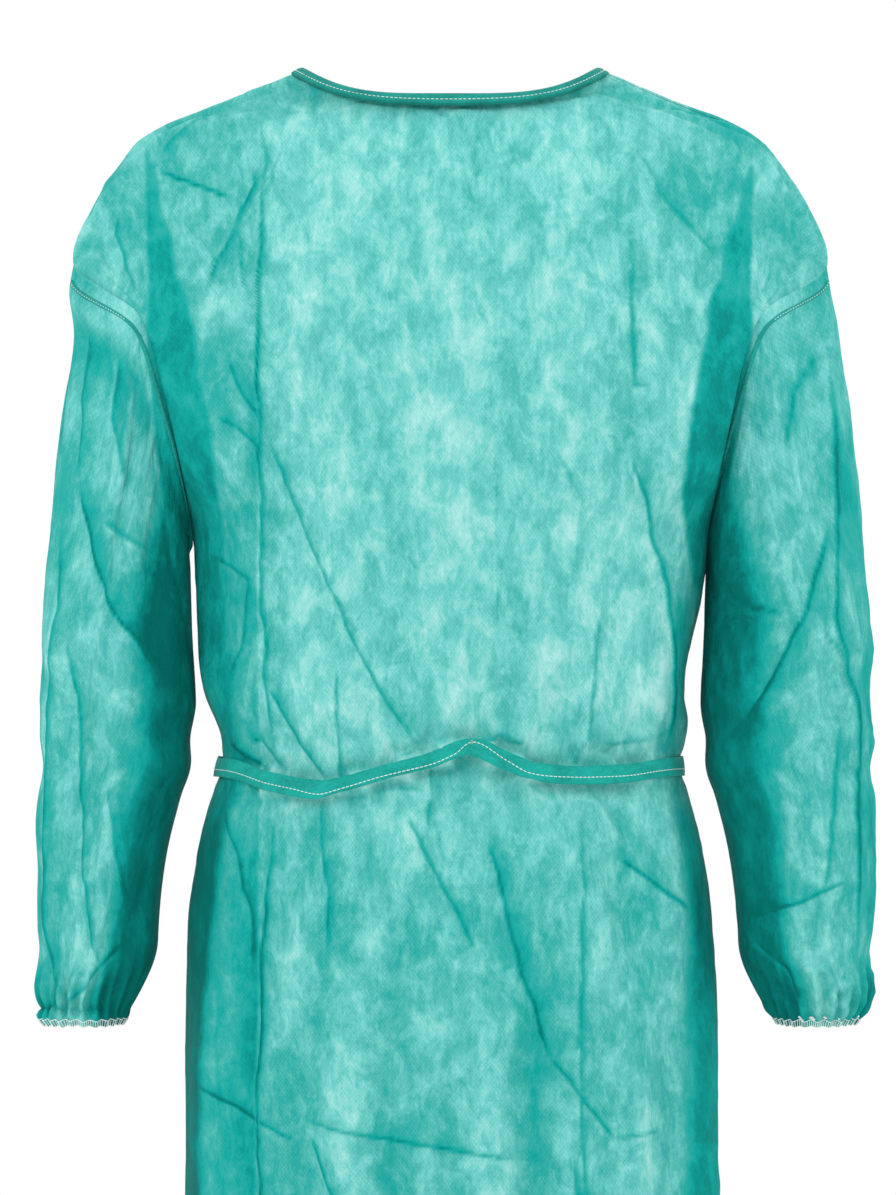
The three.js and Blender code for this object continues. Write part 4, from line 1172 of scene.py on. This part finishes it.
def dress(piece, look, node=None, body=None):
    """Gives a piece its material and slot, hides the CAD node that it stands for, and puts it on the body it
    rides on.
    """
    piece.data.materials.append(look)
    if node:
        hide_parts(node)
    if body:
        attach(piece, body)
    return piece


# ---------------------------------------------------------------- lines on the draped cloth

def averaged(values, times=6, ring=False):
    """A line's values averaged with their neighbours; a ring has no ends, a line keeps its own."""
    for _ in range(times):
        before, after = np.roll(values, 1, 0), np.roll(values, -1, 0)
        mean = (before + 2 * values + after) / 4
        values = mean if ring else np.concatenate([values[:1], mean[1:-1], values[-1:]])
    return values


def across_line(line, out):
    """The way across a line on the cloth, square to the line and to the way out."""
    return unit(np.cross(unit(np.gradient(line, axis=0)), out))


def round_trunk(count, start_gap, half_width):
    """Even places from the back's middle round the front and back again: u, and which are in front."""
    end = start_gap / (4 * half_width * np.pi / 2)
    angle = lerp(end, 1 - end, np.linspace(0, 1, count)) * 4
    front = (angle > 1) & (angle < 3)
    return np.where(front, 2 - angle, np.where(angle >= 3, angle - 4, angle)), front


def by_face(front, make):
    """What make(face) gives for each place, on the face where the place is."""
    return np.where(front[:, None], make(FRONT), make(BACK))


# ---------------------------------------------------------------- neck binding

BINDING_COUNT = 340


def neck_line(count, along, out):
    """Points round the neck edge from the back opening to itself, and the ways out."""
    u, front = round_trunk(count, BINDING_END_GAP, NECK_HALF_WIDTH)
    points = by_face(front, lambda face: body_point(face, u, along / level_length(face, u, 0.0), out))
    ways = by_face(front, lambda face: body_normal(face, u, along / level_length(face, u, 0.0)))
    return averaged(points, 2), averaged(ways, 8)


def binding_piece():
    """A folded tape over the neck edge, slightly puckered between its stitches."""
    top, bottom = LAYER_GAP + BINDING_WALL + 0.3, -CLOTH - LAYER_GAP - BINDING_WALL
    section = [(0.2, -0.4), (0.0, 0.0), (0.5, top * 0.9), (2.2, top + 0.35), (4.4, top + 0.45),
               (6.0, top - 0.10), (7.4, top + 0.20), (BINDING_WIDTH, top - 0.3), (BINDING_WIDTH, 0.35),
               (BINDING_WIDTH - 0.5, -0.9), (BINDING_WIDTH - 0.6, bottom), (4.0, bottom - 0.2),
               (1.2, bottom + 0.3)]
    place = np.arange(BINDING_COUNT) * 2.0
    pucker = 0.28 * noise(place, 0.0, 7, 300) + 0.25 * noise(place, 0.0, 3.5, 301)
    ring = []
    for along, out in section:
        line, way = neck_line(BINDING_COUNT, along, 0.0)
        shift = out + pucker * (along / BINDING_WIDTH) * (1 if out > 0 else 0.3)
        ring.append(line + way * shift[:, None])
    return tube_piece("neck_binding_tape", np.stack(ring, 1), [along for along, _ in section],
                      run_length(ring[4]))


binding = dress(binding_piece(), BINDING_LOOK, "neck_binding", "gown_body")
neck_seam, neck_out = neck_line(500, BINDING_WIDTH * 0.68, LAYER_GAP + BINDING_WALL + 0.35)
dress(stitches_piece("neck_binding_stitches", neck_seam, across_line(neck_seam, neck_out), neck_out,
                     2.4, 0.9, 0.6, 0.6), THREAD_LOOK, "neck_binding_stitch", "gown_body")


# ---------------------------------------------------------------- waist tie

TIE_COUNT = 520
TIE_FOLDED = (-84, TACK_X)        # between these the tape lies folded, and looks narrower
TIE_DENTS = [(57, 5), (-84, 5), (TACK_X, 4)]
# The stitch line wanders over the tape where it twists: x, and its place across the tape.
STITCH_WANDER = [(-170, 0.14), (-104, 0.12), (-84, 0.34), (-58, 0.26), (-20, 0.30), (4, 0.26),
                 (TACK_X, -0.30), (30, -0.14), (56, 0.20), (80, 0.12), (170, 0.14)]

tie_u, tie_front = round_trunk(TIE_COUNT, WAIST_KNOT / 2 + 1, WAIST_HALF_WIDTH)
tie_x = WAIST_HALF_WIDTH * np.sin(tie_u * np.pi / 2)
tie_v = level_at(WAIST_Z + np.where(tie_front, TIE_CURVE(tie_x), BACK_TIE_DROP))
tie_points = by_face(tie_front, lambda face: base_point(face, tie_u, tie_v))
tie_out = averaged(by_face(tie_front, lambda face: body_normal(face, tie_u, tie_v)))
tie_way = unit(np.gradient(tie_points, axis=0))
tie_place = np.arange(TIE_COUNT) * 2.1
folded = smooth((tie_x - TIE_FOLDED[0]) / 7) * smooth((TIE_FOLDED[1] - tie_x) / 6) * tie_front
dents = sum(bell((tie_x - x) / width) for x, width in TIE_DENTS) * tie_front
tip = math.radians(7) * noise(tie_place, 0.0, 60, 210)[:, None]
tie_wide = across_line(tie_points, tie_out) * np.cos(tip) + tie_out * np.sin(tip)
tie_thick = unit(np.cross(tie_wide, tie_way))
tie_thick *= np.sign((tie_thick * tie_out).sum(1).mean())
stand = TIE_LIFT + TIE_WALL / 2 + 0.4 + 0.4 * noise(tie_place, 0.0, 22, 211) + 0.3 * dents
tie_middle = tie_points + tie_out * stand[:, None]
tie_width = TIE_WIDTH * (1 - 0.22 * averaged(folded, 2) - 0.14 * dents)
tie_width *= 1 + 0.05 * noise(tie_place, 0.0, 34, 212)
dress(ribbon_piece("waist_tie_tape", tie_middle, tie_wide, tie_thick, tie_width, TIE_WALL),
      TIE_LOOK, "waist_tie", "gown_body")

down_way = np.sign(-tie_wide[TIE_COUNT // 2, 2])
stitch_place = averaged(np.where(tie_front, np.interp(tie_x, *np.array(STITCH_WANDER).T), 0.14), 2)
tie_seam = (tie_middle + tie_wide * (down_way * tie_width * stitch_place)[:, None]
            + tie_thick * (TIE_WALL * 0.72))
dress(stitches_piece("waist_tie_stitches", tie_seam, tie_wide, tie_thick, 2.5, 0.7, 0.62, 0.6),
      THREAD_LOOK, "waist_tie_stitch", "gown_body")


def bead_piece(name, line, side_way, out_way, width, height, sink=0.0, lumps=1.0, closed=False):
    """A rounded bead along a line, such as a seam, sunk under it and swollen by lumps."""
    rings = bead_rings(line - out_way * sink, side_way, out_way, width * lumps, height * lumps)
    across = np.cos(np.arange(8) / 8 * 2 * np.pi) * width / 2
    return tube_piece(name, rings, across, run_length(line), closed)


def tack_piece():
    """Zigzag of thread that holds the tie's peak to the front panel."""
    near = np.argmin(np.where(tie_front, np.abs(tie_x - TACK_X), 1e9))
    middle, across, out, along = (values[near] for values in (tie_middle, tie_wide, tie_thick, tie_way))
    turns = [middle - across * down_way * (TIE_WIDTH * lerp(0.12, 0.36, k / 7)) + along * (-1) ** k
             + out * (TIE_WALL * 0.9) for k in range(8)]
    return bead_piece("waist_tie_tack_thread", averaged(np.repeat(turns, 3, 0), 1), along, out, 0.5, 0.5)


dress(tack_piece(), THREAD_LOOK, "waist_tie_tack", "gown_body")


# ---------------------------------------------------------------- bows at the back

def over_back(level, x, below, out):
    """Point over the back: x across, a distance below a level, and a height off the cloth."""
    v = level + np.asarray(below, float) / level_length(BACK, 0, level)
    return body_point(BACK, 2 / np.pi * np.arcsin(np.asarray(x, float) / edge_x(v)), v, out)


NECK_BOW = {"level": BINDING_WIDTH * 0.5 / level_length(BACK, 0, 0.0), "size": NECK_KNOT,
            "lift": LAYER_GAP + BINDING_WALL + LAYER_GAP, "width": BINDING_WIDTH, "loop": 40,
            "tail": 150}
WAIST_BOW = {"level": float(level_at(WAIST_Z + BACK_TIE_DROP)), "size": WAIST_KNOT,
             "lift": TIE_LIFT + TIE_WALL + LAYER_GAP, "width": TIE_WIDTH, "loop": 62, "tail": 280}
KNOT_FLATNESS = 0.62
KNOT_HEIGHT = 1.05
LOOP_LIFT = 5
TAIL_STEP = 4


def curve_through(points, count):
    """Even points on a smooth curve through a few."""
    points = np.array(points, float)
    for _ in range(5):
        points = halved(points, 0)
    along = run_length(points)
    return read_along(points, along, np.linspace(0, along[-1], count))


def knot_piece(name, bow):
    """A pulled knot: a band wraps over a squashed ball, with the tape's folds running into it."""
    turns, rings = 40, 24
    centre = over_back(bow["level"], 0, 0, bow["lift"] + bow["size"] * KNOT_FLATNESS / 2)
    points = []
    for i in range(rings + 1):
        up = math.pi * i / rings
        for k in range(turns):
            a = 2 * math.pi * k / turns
            p = np.array([math.sin(up) * math.cos(a), math.sin(up) * math.sin(a) * KNOT_FLATNESS,
                          math.cos(up) * KNOT_HEIGHT])
            band = float(bell((p[0] * 0.9 + p[2] * 0.35) / 0.34))
            pleat = 0.05 * math.sin(p[2] * 17 + p[0] * 6) * (1 - band)
            points.append(centre + p * (0.86 + 0.13 * band + pleat) * bow["size"] / 2)
    piece = make_piece(name, points, [
        (i * turns + k, i * turns + (k + 1) % turns, (i + 1) * turns + (k + 1) % turns, (i + 1) * turns + k)
        for i in range(rings) for k in range(turns)])
    tidy = bmesh.new()
    tidy.from_mesh(piece.data)
    bmesh.ops.remove_doubles(tidy, verts=tidy.verts, dist=1e-6)
    bmesh.ops.recalc_face_normals(tidy, faces=tidy.faces)
    tidy.to_mesh(piece.data)
    tidy.free()
    write_uv(piece, [(v.co.x, v.co.z) for v in piece.data.vertices])
    return piece


def loop_line(bow, side):
    start = bow["size"] / 2 + LAYER_GAP + TIE_WALL
    near = bow["lift"] + bow["width"] / 2 + 1
    far = near + LOOP_LIFT
    size, loop = bow["size"], bow["loop"]
    return [over_back(bow["level"], side * x, below, out) for x, below, out in (
        (start, -size * 0.2, near), (loop * 0.55, -size * 0.3, far), (loop * 0.93, size * 0.15, far),
        (loop, size * 0.55, near + 2), (loop * 0.88, size * 0.9, near), (loop * 0.5, size * 0.62, near),
        (start, size * 0.2, near))]


def tail_line(bow, side):
    """A tail hangs down the back from under the knot and drifts to its side."""
    points = []
    under_knot = bow["size"] * KNOT_HEIGHT * 0.5 + LAYER_GAP + TIE_WALL
    v = bow["level"] + under_knot / level_length(BACK, 0, bow["level"])
    for walked in range(0, bow["tail"], TAIL_STEP):
        share = walked / bow["tail"]
        x = side * (bow["width"] * 0.3 + bow["width"] * 1.1 * float(smooth(share * 1.6)))
        out = bow["lift"] + bow["size"] * KNOT_FLATNESS * 0.5 - 2 * float(smooth(share * 3))
        points.append(body_point(BACK, 2 / np.pi * np.arcsin(x / edge_x(v)), v, out))
        v += TAIL_STEP / level_length(BACK, 0, v)
    return points


def free_tape(name, line, wide, width, bow, look, **facts):
    """A free stretch of tape that stands for the CAD node of the same name."""
    thick = unit(np.cross(wide, unit(np.gradient(line, axis=0))))
    piece = ribbon_piece(name + "_tape", line, wide, thick, width, TIE_WALL * 0.8)
    dress(piece, look, name, "gown_body")


for bow_name, bow, look in (("neck", NECK_BOW, BINDING_LOOK), ("waist", WAIST_BOW, TIE_LOOK)):
    knot = dress(knot_piece(bow_name + "_knot_tape", bow), look, bow_name + "_knot",
                 "gown_body")
    for side, hand in SIDES:
        line = curve_through(loop_line(bow, side), 90)
        way = unit(np.gradient(line, axis=0))
        wide = unit(np.array([0, 1, 0]) - way * way[:, [1]])
        share = np.linspace(0, 1, len(line))
        cup = 1 - 0.25 * bell((share - 0.5) / 0.2) - 0.35 * bell(share * 9) - 0.35 * bell((1 - share) * 9)
        free_tape("%s_bow_loop_%s" % (bow_name, hand), line, wide, bow["width"] * cup, bow, look,
                  far_end="object", with_pieces=[knot])
        line = curve_through(tail_line(bow, side), 120)
        way = unit(np.gradient(line, axis=0))
        turn = 0.25 * np.sin(np.linspace(0, 5 + side, len(line)))
        flat = unit(np.cross(way, np.array([1, 0, 0])))
        wide = unit(np.array([1, 0, 0]) - way * way[:, [0]])
        wide = wide * np.cos(turn)[:, None] + flat * np.sin(turn)[:, None]
        taper = lerp(0.4, 1, smooth(np.linspace(0, 1, len(line)) * 5))
        free_tape("%s_tie_tail_%s" % (bow_name, hand), line, wide, bow["width"] * taper, bow, look,
                  far_end="bare", with_pieces=[])


# ---------------------------------------------------------------- seams

def seam_roll(node, line, out, width, height, sink, body=None, closed=False):
    """An overlocked seam that follows a line of the draped cloth, sunk into or under it."""
    name = node + "_roll"
    lumps = 1 + 0.16 * noise(np.arange(len(line)) * 1.0, 0.0, 2.2, len(name))
    piece = bead_piece(name, line, across_line(line, out), out, width, height, sink, lumps, closed)
    return dress(piece, SEAM_LOOK, node, body)


under = int(np.argmin(np.abs(fine_levels - UNDERARM)))
shoulder = int(np.argmin(np.abs(fine_levels - SHOULDER_END)))
for side, hand in SIDES:
    border = cloth[FRONT][:, -1 if side > 0 else 0]
    side_line, top_line = border[under + 1:], border[8:shoulder - 6]
    seam_roll("side_seam_" + hand, averaged(side_line), side * np.eye(3)[[0] * len(side_line)],
              2.4, 1.8, 2.6, "gown_body")
    top_out = unit(np.array([[0.42 * side, 0, 1]] * len(top_line)))
    seam_roll("shoulder_seam_" + hand, averaged(top_line), top_out, 2.0, 1.4, 3.4, "gown_body")

for side, hand in SIDES:
    sleeve = sleeves[side]
    grid, ways = sleeve["grid"], sleeve["out"]
    ring = averaged(grid[2, :-1], 8, ring=True)
    out = unit(averaged(ways[2, :-1], 20, ring=True))
    seam_roll("armhole_seam_" + hand, ring, out, 3.6, 2.2, 0.2, "gown_body", closed=True)
    # Its stitches show only over the shoulder.
    outer = np.abs(ring[:, 0]) > SHOULDER_HALF_WIDTH * 0.84
    start = int(np.argmax(outer & ~np.roll(outer, 1)))
    line, way = (np.roll(values, -start, 0)[:int(outer.sum())] for values in (ring + out * 1.05, out))
    dress(stitches_piece("armhole_seam_%s_stitches" % hand, line, across_line(line, way), way,
                         1.8, 1.4, 0.45, 0.45), THREAD_LOOK, body="gown_body")
    for part, rows in (("upper", slice(16, ELBOW_ROW)), ("lower", slice(ELBOW_ROW + 1, len(grid) - 20))):
        sleeve["seam_" + part] = seam_roll("sleeve_seam_%s_%s" % (part, hand), averaged(grid[rows, 0], 4),
                                           unit(averaged(ways[rows, 0])), 3.2, 1.8, 1.4)


# ---------------------------------------------------------------- cuffs

OVERLOCK_THREAD = 0.5
# The elastic's section: how far up from the cuff's edge, and how far in.
ELASTIC_SECTION = [(2.0, 0.9), (7.5, 0.9), (8.0, 1.4), (7.5, 2.0), (2.0, 2.0), (1.6, 1.4)]


def cuff_pieces(hand, grid, out):
    """The gathered elastic inside the cuff's edge, and the white overlock thread that wraps it."""
    edge = grid[-1, :-1]
    ways = unit(averaged(out[-5, :-1], 8, ring=True))
    rise = unit(grid[-9, :-1] - edge)
    rings = np.stack([edge + rise * up - ways * inward for up, inward in ELASTIC_SECTION], 1)
    elastic = make_piece("cuff_elastic_%s_band" % hand, *strip_mesh(rings, closed=True))
    along = np.arange(len(edge)) / len(edge) * math.pi * CUFF_WIDTH
    write_uv(elastic, np.stack(np.broadcast_arrays(along[:, None], [2, 7, 8, 7, 2, 1.6]), -1) * MM)
    dress(elastic, ELASTIC_LOOK, "cuff_elastic_" + hand, "lower_sleeve_" + hand)

    # Threads wrap the edge and run up the outside, and a chain of thread joins their tops.
    threads = []
    for k in range(0, len(edge), 2):
        climb = [grid[-1 - row, k] + out[-1 - row, k] * 0.40 for row in range(4)]
        line = np.array([edge[k] - ways[k] * 0.7, edge[k] - rise[k] * 0.7, *climb])
        along = unit(np.gradient(line, axis=0))
        wide = unit(np.cross(along, np.array([0.3, 1.0, 0.2])))
        threads.append(strip_mesh(bead_rings(line, wide, unit(np.cross(along, wide)), OVERLOCK_THREAD,
                                             OVERLOCK_THREAD, 5)))
    chain = bead_rings(grid[-4, :-1] + out[-4, :-1] * 0.45, rise, ways, OVERLOCK_THREAD * 1.2,
                       OVERLOCK_THREAD * 1.2, 6)
    overlock = joined_piece("cuff_overlock_%s_thread" % hand, threads + [strip_mesh(chain, closed=True)])
    dress(overlock, THREAD_LOOK, "cuff_overlock_" + hand, "lower_sleeve_" + hand)
    return elastic


elastics = {side: cuff_pieces(hand, sleeves[side]["grid"], sleeves[side]["out"]) for side, hand in SIDES}


# ---------------------------------------------------------------- the cloths

dress(front_piece, CLOTH_LOOK, "front_panel", "gown_body")

for side, hand in SIDES:
    dress(back_pieces[side], CLOTH_LOOK, "back_panel_" + hand, "gown_body")
    sleeve = sleeves[side]
    for part in ("upper", "lower"):
        dress(sleeve[part], CLOTH_LOOK, "sleeve_%s_%s" % (part, hand))
    for piece in (sleeve["upper"], sleeve["seam_upper"]):
        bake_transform(piece)
    for piece in (sleeve["lower"], sleeve["seam_lower"]):
        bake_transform(piece)


# ---------------------------------------------------------------- floor, backdrop and light

def stage_floor():
    """A plain, pale, almost white floor."""
    size, height = 3.0, -1.45
    mesh = bpy.data.meshes.new("floor")
    mesh.from_pydata([(-size, -size, height), (size, -size, height), (size, size, height),
                      (-size, size, height)], [], [(0, 1, 2, 3)])
    floor = bpy.data.objects.new("floor", mesh)
    scene.collection.objects.link(floor)
    material = bpy.data.materials.new("pale_floor")
    material.use_nodes = True
    shader = material.node_tree.nodes["Principled BSDF"]
    shader.inputs["Base Color"].default_value = (0.92, 0.92, 0.92, 1)
    shader.inputs["Roughness"].default_value = 0.8
    mesh.materials.append(material)


LIGHT_AIM = (0, 0, -0.5)


def soft_light(name, place, size, power):
    light = bpy.data.lights.new(name, "AREA")
    light.size = size
    light.energy = power
    lamp = bpy.data.objects.new(name, light)
    lamp.location = place
    lamp.rotation_euler = (Vector(LIGHT_AIM) - Vector(place)).to_track_quat("-Z", "Y").to_euler()
    scene.collection.objects.link(lamp)


stage_floor()
world = bpy.data.worlds.new("studio")
scene.world = world
world.use_nodes = True
background = world.node_tree.nodes["Background"]
background.inputs["Color"].default_value = (1, 1, 1, 1)
background.inputs["Strength"].default_value = 1.0
soft_light("key", (-1.9, -2.4, 1.0), 0.9, 30)
soft_light("rim", (2.2, -0.6, 0.9), 0.7, 14)
soft_light("back", (1.0, 2.6, 0.8), 1.2, 16)
scene.view_settings.view_transform = "Standard"
